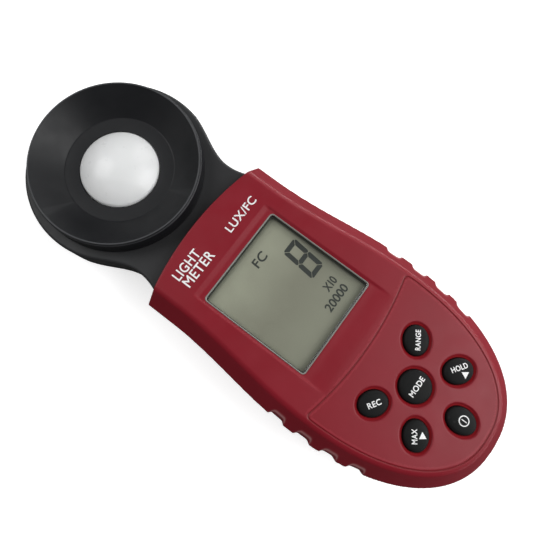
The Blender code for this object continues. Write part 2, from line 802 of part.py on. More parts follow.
def make_screws():
    for i, place in enumerate(CASE_SCREWS):
        screw(f"case_screw_{i + 1}", place, CASE_SHOULDER_Z - 2.0, 2.0, 1.7, 1.1, 22.8)
    for i, place in enumerate(BOARD_SCREWS):
        screw(f"board_screw_{i + 1}", place, BOARD_Z[0] - 1.3, 1.9, 1.0, 0.8, 22.0)
    for i, place in enumerate(HEAD_SCREWS):
        screw(f"head_screw_{i + 1}", place, HEAD_BOTTOM_Z + 0.5, 2.1, 1.5, 1.0, 18.6)
    for i, place in enumerate(sensor_screw_places()):
        screw(f"sensor_screw_{i + 1}", place, 16.0, 1.9, 1.2, 0.8, 23.1)


def make_display():
    half_x, half_y = DISPLAY_HALF
    box(
        "display_window",
        (-half_x, DISPLAY_Y - half_y, LENS_Z[0]),
        (half_x, DISPLAY_Y + half_y, LENS_Z[1]),
        CLEAR,
    )
    lcd_x, lcd_y = LCD_HALF
    box("lcd_glass", (-lcd_x, DISPLAY_Y - lcd_y, LCD_Z[0]), (lcd_x, DISPLAY_Y + lcd_y, LCD_Z[1]), GLASS)
    frame_base = BOARD_Z[1] + GAP
    rim = 1.1
    frame = box(
        "lcd_frame",
        (-lcd_x - GAP - rim, DISPLAY_Y - lcd_y - GAP - rim, frame_base),
        (lcd_x + GAP + rim, DISPLAY_Y + lcd_y + GAP + rim, BODY_ROOF - GAP),
        CREAM,
    )
    space = box(
        "lcd_frame_space",
        (-lcd_x - GAP, DISPLAY_Y - lcd_y - GAP, frame_base - 1.0),
        (lcd_x + GAP, DISPLAY_Y + lcd_y + GAP, BODY_ROOF + 1.0),
    )
    cut(frame, space)
    for i, place in enumerate(CASE_SCREWS[:2]):
        cut(frame, cylinder(f"frame_notch_{i}", place, 2.8, (frame_base - 1.0, BODY_ROOF + 1.0)))
    for name, side in (("head", 1), ("tail", -1)):
        y = DISPLAY_Y + side * (lcd_y - 1.2)
        box(f"zebra_strip_{name}", (-15.0, y - 0.9, frame_base), (15.0, y + 0.9, LCD_Z[0] - GAP), CARBON)


def make_main_board():
    outline = body_outline(BOARD_INSET, BOARD_END_Y, BOARD_HALF)
    board = plate("main_board", outline, BOARD_Z, BOARD)
    through = (BOARD_Z[0] - 1.0, BOARD_Z[1] + 1.0)
    for i, place in enumerate(CASE_SCREWS[:2]):
        cut(board, cylinder(f"board_notch_{i}", place, 2.9, through))
    for i, place in enumerate(BOARD_SCREWS):
        cut(board, cylinder(f"board_hole_{i}", place, 1.15, through, segments=12))
    top = BOARD_Z[1] + GAP
    under = BOARD_Z[0] - GAP
    box("meter_chip", (-6.0, -15.0, top), (6.0, -3.0, top + 1.2), CARBON)
    box("crystal", (6.0, -6.0, under - 3.5), (16.5, -1.5, under), STEEL)
    cylinder("capacitor", (-11.0, -4.0), 2.5, (under - 7.0, under), CELL, 20)
    box("trimmer", (7.0, 3.0, under - 4.0), (13.5, 9.0, under), CREAM)
    box("sensor_connector", (-4.0, 0.6, under - 4.6), (4.0, 5.6, under), CREAM)


def make_keypad():
    outline = body_outline(BOARD_INSET + 0.4, -37.5, BOARD_HALF - 0.4)
    mat = plate("keypad_mat", outline, MAT_Z, RUBBER)
    heights = (MAT_Z[0] - 1.0, MAT_Z[1] + 1.0)
    mat_hole_out = KEY_FLANGE_OUT + KEY_HOLE_OUT
    for name, (place, half) in KEYS.items():
        cut(mat, key_cylinder(f"mat_hole_{name}", place, half, mat_hole_out, heights, segments=16))
    for name, (place, half) in KEYS.items():
        key = turned(f"button_{name}", key_profile(half[0]), RUBBER, steps=24, at=place, closed=False)
        key.scale.y = half[1] / half[0]
        key.rotation_euler.z = key_turn(place)
        cylinder(f"contact_pill_{name}", place, PILL_RADIUS, PILL_Z, CARBON, 14)


def key_profile(radius):
    """A domed cap on a wider flange that keeps the key behind the shell."""
    flange = radius + KEY_FLANGE_OUT
    return [
        (0.0, KEY_CROWN_Z),
        (radius * 0.55, KEY_CROWN_Z - 0.25),
        (radius * 0.86, KEY_EDGE_Z + 0.35),
        (radius, KEY_EDGE_Z - 0.4),
        (radius, KEY_FLANGE_Z[1]),
        (flange, KEY_FLANGE_Z[1]),
        (flange, KEY_FLANGE_Z[0]),
        (0.0, KEY_FLANGE_Z[0]),
    ]


def make_batteries():
    """Three AAA cells side by side in turn about, each with a spring and a plate."""
    for i in range(3):
        x = CELL_PITCH * (i - 1)
        to_head = 1 if i % 2 == 0 else -1
        middle_y = (WELL_Y[0] + WELL_Y[1]) / 2
        reach = (WELL_Y[1] - WELL_Y[0]) / 2
        plate_ends = (reach - 0.3 - 0.4, reach - 0.3)
        cell_end = reach - 1.0
        cell_base = cell_end - CELL_LENGTH
        profile = [
            (0.0, cell_end),
            (1.9, cell_end),
            (1.9, cell_end - 1.0),
            (CELL_RADIUS - 0.5, cell_end - 1.0),
            (CELL_RADIUS, cell_end - 1.5),
            (CELL_RADIUS, cell_base + 0.4),
            (CELL_RADIUS - 0.4, cell_base),
            (0.0, cell_base),
        ]
        cell = turned(f"cell_{i + 1}", profile, CELL, steps=22, closed=False)
        cell.location = (x * MM, middle_y * MM, CELL_Z * MM)
        cell.rotation_euler.x = -to_head * math.pi / 2
        ends = sorted(middle_y + to_head * end for end in plate_ends)
        half = 3.6
        low = (x - half, ends[0], CELL_Z - half)
        box(f"contact_plate_{i + 1}", low, (x + half, ends[1], CELL_Z + half), BRASS)
        wire_radius = 0.35
        start = middle_y + to_head * (cell_base - 0.3 - wire_radius)
        end = middle_y - to_head * (reach - 0.3 - wire_radius)
        contact_spring(f"contact_spring_{i + 1}", x, start, end, wire_radius)


def contact_spring(name, x, start, end, wire_radius):
    """A conical coil along Y, narrow where it meets the cell."""
    turns = 3
    per_turn = 8
    count = turns * per_turn
    points = []
    for i in range(count + 1):
        along = i / count
        angle = 2 * math.pi * turns * along
        radius = 2.2 + 1.6 * along
        y = start + (end - start) * along
        points.append((x + radius * math.cos(angle), y, CELL_Z + radius * math.sin(angle)))
    wire(name, points, wire_radius, STEEL)


def smooth_path(route, per_leg=5):
    """Points along a smooth curve through a route's own points."""
    knots = [Vector(point) for point in route]
    knots = [2 * knots[0] - knots[1]] + knots + [2 * knots[-1] - knots[-2]]
    points = []
    for a, b, c, d in zip(knots, knots[1:], knots[2:], knots[3:]):
        for i in range(per_leg):
            t = i / per_leg
            bend = (2 * a - 5 * b + 4 * c - d) * t * t + (3 * b - a - 3 * c + d) * t**3
            points.append(b + ((c - a) * t + bend) / 2)
    points.append(knots[-2])
    return points


def make_leads():
    """Two leads from the sensor to the main board, and two from the batteries."""
    for name, side, material in (("positive", 1, LEAD_RED), ("negative", -1, LEAD_BLACK)):
        route = [
            (side * 1.6, 39.0, 17.1),
            (side * 1.7, 35.0, 14.2),
            (side * 2.2, 27.0, 12.4),
            (side * 2.4, 17.0, 12.2),
            (side * 1.8, 9.5, 13.6),
            (side * 1.6, 6.5, 14.3),
        ]
        wire(f"sensor_lead_{name}", smooth_path(route, 3), 0.55, material)
        route = [
            (side * CELL_PITCH, WELL_Y[1] + WELL_WALL + 0.9, 9.0),
            (side * 10.2, -9.8, 8.6),
            (side * 7.6, -6.6, 10.6),
            (side * 4.2, -4.6, 14.0),
            (side * 3.6, -4.2, 16.1),
        ]
        wire(f"battery_lead_{name}", smooth_path(route, 3), 0.55, material)


make_front_shell()
make_rear_shell()
make_battery_cover()
make_head_plate()
make_head_back()
make_sensor_hood()
make_diffuser_dome()
make_sensor_inside()
make_display()
make_main_board()
make_keypad()
make_batteries()
make_leads()
make_screws()
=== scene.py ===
"""Looks for the handheld light meter: moulded shells, keys, display, dome, legends and lighting.

Shapes are worked out in millimetres in the frame's own axes and scaled to metres when a mesh is
made. The shells are signed distance fields (negative inside), turned into meshes on a fine grid,
so that every edge has the small radius of a moulded part.
"""
import functools
import math

import bmesh
import bpy
import numpy as np
from mathutils import Matrix, Vector


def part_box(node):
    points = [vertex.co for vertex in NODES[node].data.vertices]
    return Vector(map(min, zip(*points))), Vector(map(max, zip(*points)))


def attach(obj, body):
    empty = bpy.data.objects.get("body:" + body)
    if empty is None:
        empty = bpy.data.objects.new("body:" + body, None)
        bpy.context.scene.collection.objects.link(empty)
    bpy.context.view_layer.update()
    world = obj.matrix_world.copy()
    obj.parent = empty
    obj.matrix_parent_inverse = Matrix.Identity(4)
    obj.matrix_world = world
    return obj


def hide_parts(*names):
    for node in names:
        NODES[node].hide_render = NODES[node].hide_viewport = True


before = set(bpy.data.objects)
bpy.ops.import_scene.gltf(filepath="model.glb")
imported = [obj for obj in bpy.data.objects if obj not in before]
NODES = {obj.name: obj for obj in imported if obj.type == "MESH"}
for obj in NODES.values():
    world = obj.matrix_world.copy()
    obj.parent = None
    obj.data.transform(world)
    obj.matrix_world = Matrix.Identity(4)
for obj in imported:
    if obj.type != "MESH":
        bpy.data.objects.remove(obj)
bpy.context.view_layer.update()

MM = 0.001

HOUSING = "housing"
COVER_BODY = "battery_cover"

# Grid of the moulded pieces: its steps, the room it leaves round a piece, and a far distance
FINE_STEP = 0.27
COARSE_STEP = 0.42
GRID_MARGIN = 1.0
FAR = 9.0

# Edge radii of the moulded pieces
FACE_RADIUS = 0.9
PLATE_RADIUS = 0.85
SMALL_RADIUS = 0.3
REAR_SCALLOP_RADIUS = 0.25
RECESS_RADIUS = 0.2
TINY_RADIUS = 0.16

# Body outline, seen from above
TAIL_Y = -81.0
BULGE_Y = -32.7
BULGE_HALF = 30.0
WAIST_Y = 12.0
WAIST_HALF = 26.5
BODY_END_Y = 24.2
TAIL_POWER = 2.27
PAST_TAIL_Y = TAIL_Y - 5
UNDER_Z = -2.0
TAIL_STEPS = 60
SIDE_STEPS = 40

# Body heights and walls
FACE_Z = 26.0
FACET_BASE_Z = 19.15
FACET_TOP_Z = 25.65
FACET_TOP_INSET = 4.65
REAR_TOP_Z = 18.85
REAR_DRAFT = 0.6
ROLL_WIDTH = 3.4
ROLL_HEIGHT = 6.0
FRONT_WALL = 1.9
REAR_WALL = 2.2
WALL = 2.0
BODY_ROOF = 23.5
BODY_FLOOR = 3.2
GAP = 0.3

# Seam between the red shell and the black neck
SEAM_APEX_Y = 23.15
SEAM_CORNER_Y = 20.6
SEAM_CORNER_X = 21.6

# Sensor head and neck
HEAD_Y = 52.5
HEAD_RADIUS = 28.4
HEAD_OUTLINE_Y = 52.6
HEAD_ARC_STEPS = 60
NECK_BLEND_Y = 45.0
NECK_BLEND_HALF = 27.3
NECK_BLEND_SLOPE = 0.30
NECK_BLEND_STEPS = 24
NECK_WAIST_Y = 28.0
NECK_WAIST_HALF = 20.8
NECK_ROOT_Y = 21.3
NECK_ROOT_HALF = 22.2
NECK_ROOT_STEPS = 10
TONGUE_END_Y = 15.5
HEAD_TOP_Z = 21.65
HEAD_SPLIT_Z = 14.0
HEAD_BOTTOM_Z = 7.5
HEAD_ROOF = 19.4
HEAD_FLOOR = 9.5
HEAD_ROLL_WIDTH = 3.2
HEAD_ROLL_HEIGHT = 4.6
HEAD_INNER_ROLL = 0.5

# Display: the tray sunk into the face, the window's opening and what closes it
DISPLAY_Y = -9.6
DISPLAY_HALF = (15.6, 17.05)
DISPLAY_CORNER = 1.1
DISPLAY_LEDGE = 0.3
DISPLAY_GAP = 0.06
DISPLAY_SEAT_Z = 24.1
TRAY_DEPTH = 0.42
TRAY_HEAD_RAMP = (8.9, 10.7)
TRAY_TAIL_RAMP = (-34.5, -28.0)
TRAY_SIDE_RAMP = (15.9, 16.8)
# Rings of the window's pieces: how far outside the window, corner radius, height
PANE_RINGS = (
    (-0.25, 0.85, 24.4), (-0.08, 1.02, 24.48), (0.0, 1.1, 24.7), (0.0, 1.1, 25.38),
    (-0.05, 1.05, 25.47), (-0.12, 0.98, 25.5), (-0.9, 0.2, 25.5),
)
# Rings of the pale ring that paints the pane's edge highlight
HIGHLIGHT_RIM_RINGS = (
    (0.17, 1.05, 25.2), (0.17, 1.05, 25.59), (0.1, 1.0, 25.67), (-0.02, 0.9, 25.67),
    (-0.2, 0.8, 25.56), (-0.2, 0.8, 25.2),
)
# Rings of the dark ring that paints the shadow under the pane's edge
SHADOW_TAPE_RINGS = ((-0.02, 1.05, 23.4), (-0.02, 1.05, 24.38), (-0.4, 0.8, 24.38), (-0.4, 0.8, 23.4))
WINDOW_CORNER_STEPS = 8

# Keypad panel and its engraved line
PANEL_INSET = 6.0
PANEL_TOP_Y = -36.2
PANEL_TOP_RADIUS = 100.0
PANEL_CORNER = 1.5
GROOVE_DEPTH = 0.19
GROOVE_HALF = 0.17
GROOVE_BAND = 0.75
GROOVE_CUTS = 2

# Keys: name, place, half axes of the cap
KEY_MODE_Y = -52.4
KEY_ROUND = (4.5, 4.5)
KEY_OVAL = (4.18, 3.43)
KEYS = {
    "mode": ((0.0, KEY_MODE_Y), KEY_ROUND),
    "range": ((10.46, -45.8), KEY_OVAL),
    "rec": ((-10.46, -45.8), KEY_OVAL),
    "hold": ((10.43, -59.5), KEY_OVAL),
    "max": ((-10.43, -59.5), KEY_OVAL),
    "power": ((0.0, -67.1), KEY_OVAL),
}
KEY_CROWN_Z = 26.95
KEY_EDGE_Z = 26.1
KEY_FALL = 0.55
KEY_ROLL_START = 0.72
KEY_ROLL_FALL = 0.62
KEY_RECESS_OUT = 0.92
KEY_HOLE_OUT = 0.16
KEY_RECESS_Z = 25.45
KEY_RECESS_SLOPE = 0.35
KEY_TIP = 0.004
KEY_CROWN_STEPS = 22
KEY_SEGMENTS = 72
# Rings of a key below its cap: share of the half axes, height, how far outside
KEY_SKIRT = (
    (1, 25.0, 0.0), (1, 21.6, 0.0), (1, 21.5, 0.1), (1, 21.5, 1.1),
    (1, 21.4, 1.2), (1, 20.4, 1.2), (1, 20.35, 1.1), (KEY_TIP, 20.35, 0.0),
)

# What the vertices carry for their material, and how wide each mark spreads
# Painted shade: the key recesses take a deeper, more saturated, matt red
RECESS_SHADE_MARK = "painted_recess_shade"
RECESS_SHADE_DEPTHS = (0.1, 0.3)
RECESS_SHADE_EDGE = (-0.15, 0.05)
# Painted highlight: a pale line along the scallop rims and the hood's lip and step
HIGHLIGHT_MARK = "rim"
HIGHLIGHT_WIDTH = 0.2
# Painted shade: a darker red line along the engraved groove
GROOVE_SHADE_MARK = "groove"
GROOVE_SHADE = 0.16

# Battery bay and cover
WELL_HALF = 16.6
WELL_Y = (-66.0, -14.6)
WELL_TOP = 14.2
WELL_WALL = 1.4
WELL_ROOF = 1.1
COVER_HALF = 17.7
COVER_END_Y = -14.2
COVER_TOP = 2.0
TONGUE_OUT = 1.5
TONGUE_Z = (1.2, 2.0)
TONGUE_Y = (-60.0, -16.0)
THUMB_GROOVES_Y = (-20.0, -22.2, -24.4, -26.6, -28.8)
THUMB_GROOVE_HALF = (7.0, 0.55)
THUMB_GROOVE_TOP = 0.6
THUMB_GROOVE_CORNER = 0.5

# Finger scallops
SCALLOP_Y = (-27.9, -36.8, -45.2, -53.4)
SCALLOP_LENGTH_HALF = 2.6
SCALLOP_DEPTH = 0.95
SCALLOP_POWER = 6
SCALLOP_SLOPE = 0.36
SCALLOP_FADE_Z = (9.5, 13.0)
SCALLOP_CLEAR = 0.3

# Screw work: a post, then its bores, as (radius, bottom, top) and maybe the radius of the edges
HEAD_POST_BASE = HEAD_SPLIT_Z + GAP / 2
HEAD_RECESS_Z = HEAD_BOTTOM_Z + 2.3
FRONT_CASE_WORK = ((2.5, FACET_BASE_Z, BODY_ROOF), (1.4, FACET_BASE_Z - 1, 23.1))
BOARD_WORK = ((2.2, FACET_BASE_Z, BODY_ROOF), (1.1, FACET_BASE_Z - 1, 22.3))
REAR_CASE_WORK = (
    (2.8, BODY_FLOOR - 1, REAR_TOP_Z),
    (2.4, -1.5, 9.0, SMALL_RADIUS),
    (1.4, 8.0, REAR_TOP_Z + 1),
)
HEAD_TOP_WORK = ((2.6, HEAD_POST_BASE, HEAD_ROOF), (1.3, HEAD_POST_BASE - 2, 18.9))
HEAD_BACK_WORK = (
    (3.2, HEAD_FLOOR - 0.5, HEAD_SPLIT_Z - GAP / 2),
    (2.5, HEAD_BOTTOM_Z - 2, HEAD_RECESS_Z, SMALL_RADIUS),
    (1.3, HEAD_RECESS_Z - 1, HEAD_SPLIT_Z + 1),
)
SENSOR_WORK = (None, (1.1, HEAD_ROOF - 1, HEAD_TOP_Z + 1))
DOME_WORK = (None, (17.3, HEAD_ROOF - 1, HEAD_TOP_Z + 1))

# Hood: its section as (radius, height), and the edges where a painted highlight marks its lip and
# step
HOOD_SECTION = (
    (20.0, 21.95), (25.42, 21.95), (25.36, 24.6), (25.15, 27.45), (24.78, 27.52),
    (24.82, 28.2), (24.35, 28.2), (24.05, 27.95), (16.35, 22.32), (11.96, 22.3),
    (11.96, 21.2), (17.0, 21.2), (17.0, 21.95), (20.0, 21.95),
)
HOOD_RADIUS = 0.22
HOOD_LIP_Z = 28.15
HOOD_LIP_SHINE = 0.9
HOOD_STEP_Z = 27.47
HOOD_STEP_BAND = 0.1
HOOD_STEP_SHINE = 0.35

# Dome
DOME_EDGE_RADIUS = 11.66
DOME_EDGE_Z = 22.5
DOME_CROWN_Z = 26.8
DOME_WALL = 1.56
DOME_FLANGE_RADIUS = 13.5
DOME_FLANGE_Z = (20.1, 20.95)
DOME_STEPS = 28
DOME_TIP = 1e-4
TURNED_SEGMENTS = 160

# Printing
LETTER_SIZE = 3.0
LETTER_SPACING = 1.08
KEY_BOLD = 0.05
FACE_BOLD = 0.058
LCD_BOLD = 0.09
LCD_SLANT = 0.05
INK_LIFT = 0.012
INK_THICK = 0.03
LCD_INK_THICK = 0.02
STRIKE_LIFT = 0.008
LONGEST_EDGE = 0.5
LCD_TOP_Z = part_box("lcd_glass")[1].z / MM

# Stage
FLOOR_HALF = 3.0
LIGHT_TARGET = (0.0, -0.01, 0.02)
# Softboxes: name, place, size in metres, watts
SOFTBOXES = (
    ("key_softbox", (0.30, -0.42, 0.46), (0.5, 0.5), 3.0),
    ("top_softbox", (0.09, -0.29, 0.62), (0.26, 0.26), 0.42),
    ("fill_softbox", (-0.12, 0.46, 0.50), (0.4, 0.4), 1.5),
    ("side_softbox", (0.46, 0.10, 0.34), (0.3, 0.3), 0.4),
    ("low_strip", (0.42, 0.02, 0.03), (0.7, 0.06), 1.15),
    ("tail_strip", (0.10, -0.46, 0.05), (0.5, 0.06), 0.35),
)
WORLD_GLOW = 0.19
WORLD_GLOW_SEEN = 0.85
CAMERA_PLACE = (-0.01881, -0.01406, 0.15552)
CAMERA_RIGHT = (0.6012, -0.7990, 0.0150)
CAMERA_UP = (0.7832, 0.5928, 0.1875)
CAMERA_LENS = 31.77
CAMERA_SENSOR = 36.0


def centres_of(beginning, count):
    """Where numbered CAD nodes stand, in millimetres, seen from above."""
    centres = []
    for i in range(1, count + 1):
        low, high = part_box(f"{beginning}_{i}")
        centres.append(((low.x + high.x) / 2 / MM, (low.y + high.y) / 2 / MM))
    return centres


CASE_SCREWS = centres_of("case_screw", 4)
BOARD_SCREWS = centres_of("board_screw", 2)
HEAD_SCREWS = centres_of("head_screw", 3)
SENSOR_SCREWS = centres_of("sensor_screw", 3)


# ---- fields


class Grid:
    """A regular block of points round a piece, with coordinates shaped to combine."""

    def __init__(self, half, along, up, step):
        self.low = np.array((-half, along[0], up[0])) - GRID_MARGIN
        self.step = step
        high = np.array((half, along[1], up[1])) + GRID_MARGIN
        counts = [int(math.ceil((b - a) / step)) + 1 for a, b in zip(self.low, high)]
        axes = [a + step * np.arange(n) for a, n in zip(self.low, counts)]
        self.x = axes[0].reshape(-1, 1, 1)
        self.y = axes[1].reshape(1, -1, 1)
        self.z = axes[2].reshape(1, 1, -1)


def overlap(*fields):
    """The overlap of fields, with sharp edges."""
    return functools.reduce(np.maximum, fields)


def round_max(a, b, radius):
    """The overlap of two fields, with a rounded edge."""
    reach = np.hypot(np.maximum(radius + a, 0), np.maximum(radius + b, 0))
    return np.minimum(-radius, np.maximum(a, b)) + reach


def carve(field, tool, radius=TINY_RADIUS):
    return round_max(field, -tool, radius)


def span_field(value, ends):
    """Negative between two ends."""
    return np.abs(value - (ends[0] + ends[1]) / 2) - (ends[1] - ends[0]) / 2


def box_field(grid, half, along, up, corner=0.0):
    """A block that is symmetric about x = 0; its upright edges can be rounded."""
    across = np.abs(grid.x) - half + corner
    lengthwise = span_field(grid.y, along) + corner
    corner_reach = np.hypot(np.maximum(across, 0), np.maximum(lengthwise, 0))
    flat = np.minimum(np.maximum(across, lengthwise), 0) + corner_reach - corner
    return np.maximum(flat, span_field(grid.z, up))


def display_box(grid, by, up):
    """A block over the window, wider than it by a margin all round."""
    half_x, half_y = grown(DISPLAY_HALF, by)
    along = (DISPLAY_Y - half_y, DISPLAY_Y + half_y)
    return box_field(grid, half_x, along, up, DISPLAY_CORNER)


def cylinder_field(grid, place, radius, low, high):
    flat = np.hypot(grid.x - place[0], grid.y - place[1]) - radius
    return overlap(flat, low - grid.z, grid.z - high)


def ellipse_field(grid, place, half, turn):
    """Distance to an upright elliptical wall."""
    cos, sin = math.cos(turn), math.sin(turn)
    across, along = grid.x - place[0], grid.y - place[1]
    u = across * cos + along * sin
    v = along * cos - across * sin
    near = np.hypot(u / half[0], v / half[1])
    slope = np.hypot(u / half[0] ** 2, v / half[1] ** 2)
    return near * (near - 1) / np.maximum(slope, 0.01)


def outline_field(grid, side):
    """Distance to an outline that is symmetric about x = 0, given by its right side."""
    x = np.abs(grid.x)[:, :, 0].repeat(grid.y.size, 1).ravel()
    y = grid.y[:, :, 0].repeat(grid.x.size, 0).ravel()
    nearest = np.full(x.shape, np.inf)
    inside = np.zeros(x.shape, bool)
    for (x0, y0), (x1, y1) in zip(side, side[1:]):
        dx, dy = x1 - x0, y1 - y0
        along = np.clip(((x - x0) * dx + (y - y0) * dy) / (dx * dx + dy * dy), 0, 1)
        nearest = np.minimum(nearest, (x - x0 - along * dx) ** 2 + (y - y0 - along * dy) ** 2)
        if y0 != y1:
            crosses = (y >= min(y0, y1)) & (y < max(y0, y1))
            inside |= crosses & (x < x0 + (y - y0) * dx / dy)
    distance = np.sqrt(nearest) * np.where(inside, -1, 1)
    return distance.reshape(grid.x.size, grid.y.size, 1)


def screwed(shell, grid, places, post, *bores):
    """Adds a post at each place, if there is one, and bores it."""
    for place in places:
        if post:
            shell = np.minimum(shell, cylinder_field(grid, place, *post))
        for radius, low, high, *edge in bores:
            shell = carve(shell, cylinder_field(grid, place, radius, low, high), *edge)
    return shell


CELL_CORNERS = [(i, j, k) for i in (0, 1) for j in (0, 1) for k in (0, 1)]


def mesh_arrays(field, grid):
    """Vertices and quads on the zero level of a field, by surface nets."""
    counts = np.array(field.shape) - 1
    inside = field < 0

    def shifted(array, offset):
        return array[tuple(slice(o, o + n) for o, n in zip(offset, counts))]

    total = sum(shifted(inside, corner).astype(np.int8) for corner in CELL_CORNERS)
    cells = np.argwhere((total > 0) & (total < len(CELL_CORNERS)))
    number = np.full(counts, -1)
    number[tuple(cells.T)] = np.arange(len(cells))
    places = np.zeros((len(cells), 3))
    crossings = np.zeros(len(cells))
    quads = []
    for axis in range(3):
        unit, first, second = (np.eye(3, dtype=int)[(axis + i) % 3] for i in range(3))
        for offset in (0 * unit, first, second, first + second):
            start = cells + offset
            end = start + unit
            a, b = field[tuple(start.T)], field[tuple(end.T)]
            crossed = (a < 0) != (b < 0)
            share = a[crossed] / (a[crossed] - b[crossed])
            places[crossed] += start[crossed] + share[:, None] * unit
            crossings[crossed] += 1
        ends = [slice(None)] * 3
        starts = [slice(None)] * 3
        ends[axis], starts[axis] = slice(1, None), slice(None, -1)
        change = inside[tuple(starts)].astype(np.int8) - inside[tuple(ends)]
        edges = np.argwhere(change)
        room = np.all((edges >= first + second) & (edges < counts), axis=1)
        edges = edges[room]
        ring = [edges, edges - first, edges - first - second, edges - second]
        around = np.stack([number[tuple(cell.T)] for cell in ring], axis=1)
        flip = change[tuple(edges.T)] < 0
        around[flip] = around[flip][:, ::-1]
        quads.append(around)
    vertices = grid.low + grid.step * places / crossings[:, None]
    return vertices, np.concatenate(quads)


def field_at(field, grid, places):
    """A field's value at loose places, by linear interpolation."""
    counts = (grid.x.size, grid.y.size, grid.z.size)
    field = np.broadcast_to(field, counts)
    share = (places - grid.low) / grid.step
    first = np.minimum(share.astype(int), np.array(counts) - 2)
    share = share - first
    total = np.zeros(len(places))
    for corner in CELL_CORNERS:
        weight = np.prod(np.where(corner, share, 1 - share), axis=1)
        total += weight * field[tuple((first + corner).T)]
    return total


def ramp_between(value, start, end):
    """0 before start, 1 after end, with a smooth climb between."""
    share = np.clip((value - start) / (end - start), 0, 1)
    return share * share * (3 - 2 * share)


def bell(distance, width):
    """1 at no distance, falling away smoothly over a width."""
    return np.exp(-((distance / width) ** 2))


def rolled_edge(above, width, height):
    """How far a wall draws in at a height above the bottom of its rolled edge."""
    share = np.clip(1 - above / height, 0, 1)
    return width * (1 - np.sqrt(1 - share**2))


# ---- pieces


def new_object(name, data):
    """Puts a mesh, curve, light or camera into the scene."""
    obj = bpy.data.objects.new(name, data)
    bpy.context.scene.collection.objects.link(obj)
    return obj


def mesh_object(name, mesh, material, smooth=True):
    """A piece of one material."""
    if smooth:
        mesh.shade_smooth()
    mesh.materials.append(material)
    return new_object(name, mesh)


def shape_object(name, shape, material, smooth=True):
    """A piece made from a bmesh, which is freed."""
    mesh = bpy.data.meshes.new(name)
    shape.to_mesh(mesh)
    shape.free()
    return mesh_object(name, mesh, material, smooth)


def field_object(name, field, grid, material):
    """A piece on the zero level of a field."""
    vertices, quads = mesh_arrays(field, grid)
    mesh = bpy.data.meshes.new(name)
    mesh.from_pydata((vertices * MM).tolist(), [], quads.tolist())
    return mesh_object(name, mesh, material)


def vertex_places(obj):
    """The vertices of a piece in millimetres."""
    places = np.empty(len(obj.data.vertices) * 3, np.float32)
    obj.data.vertices.foreach_get("co", places)
    return places.reshape(-1, 3) / MM


def mark_vertices(obj, name, values):
    """Stores a value on every vertex, for the material to read."""
    mark = obj.data.attributes.new(name, "FLOAT", "POINT")
    mark.data.foreach_set("value", values.astype(np.float32))


# ---- outlines


def body_half_width(y):
    """Half the body's width: a blunt tail, and an eased side from its widest place to its waist."""
    if y < BULGE_Y:
        reach = ((BULGE_Y - y) / (BULGE_Y - TAIL_Y)) ** TAIL_POWER
        return BULGE_HALF * (1 - reach) ** (1 / TAIL_POWER)
    along = min((y - BULGE_Y) / (WAIST_Y - BULGE_Y), 1.0)
    return WAIST_HALF + (BULGE_HALF - WAIST_HALF) * (1.0 + math.cos(math.pi * along)) / 2


def body_side():
    """The right side of the body's outline, from the middle of the tail to the head end."""
    bends = [math.cos(math.pi / 2 * i / TAIL_STEPS) ** (2 / TAIL_POWER) for i in range(TAIL_STEPS)]
    places = [BULGE_Y - (BULGE_Y - TAIL_Y) * bend for bend in bends]
    length = BODY_END_Y - BULGE_Y
    places += [BULGE_Y + length * i / SIDE_STEPS for i in range(SIDE_STEPS + 1)]
    return [(body_half_width(y), y) for y in places]


def head_side():
    """The right side of the head and neck, from the neck's hidden end up to the top."""
    side = [(NECK_ROOT_HALF, TONGUE_END_Y)]
    for i in range(NECK_ROOT_STEPS):
        along = i / NECK_ROOT_STEPS
        y = NECK_ROOT_Y + (NECK_WAIST_Y - NECK_ROOT_Y) * along
        side.append((NECK_WAIST_HALF + (NECK_ROOT_HALF - NECK_WAIST_HALF) * (1 - along) ** 2, y))
    length = NECK_BLEND_Y - NECK_WAIST_Y
    for i in range(NECK_BLEND_STEPS):
        t = i / NECK_BLEND_STEPS
        from_waist = NECK_WAIST_HALF * (2 * t**3 - 3 * t**2 + 1)
        from_head = NECK_BLEND_HALF * (3 * t**2 - 2 * t**3)
        x = from_waist + from_head + NECK_BLEND_SLOPE * length * (t**3 - t**2)
        side.append((x, NECK_WAIST_Y + length * t))
    start = math.asin((NECK_BLEND_Y - HEAD_OUTLINE_Y) / HEAD_RADIUS)
    for i in range(HEAD_ARC_STEPS + 1):
        angle = start + (math.pi / 2 - start) * i / HEAD_ARC_STEPS
        x, y = HEAD_RADIUS * math.cos(angle), HEAD_RADIUS * math.sin(angle)
        side.append((x, HEAD_OUTLINE_Y + y))
    return side


def head_distance(grid):
    """Distance to the head's outline, which is cut straight at the neck's hidden end."""
    return np.maximum(outline_field(grid, head_side()), TONGUE_END_Y - grid.y)


def seam_field(grid):
    """Negative on the body's side of the arched seam with the neck."""
    rise = SEAM_APEX_Y - SEAM_CORNER_Y
    radius = (SEAM_CORNER_X**2 + rise**2) / (2 * rise)
    arch = np.hypot(grid.x, grid.y - SEAM_APEX_Y + radius) - radius
    return np.minimum(arch, grid.y - SEAM_CORNER_Y)


def neck_passage(grid):
    """The room that the neck takes in the body's end wall."""
    low, high = HEAD_BOTTOM_Z - GAP - grid.z, grid.z - HEAD_TOP_Z - GAP
    return overlap(head_distance(grid) - GAP, low, high)


def inner_end(grid):
    """Negative on the hollow's side of the body's end wall."""
    return grid.y - (SEAM_CORNER_Y - WALL)


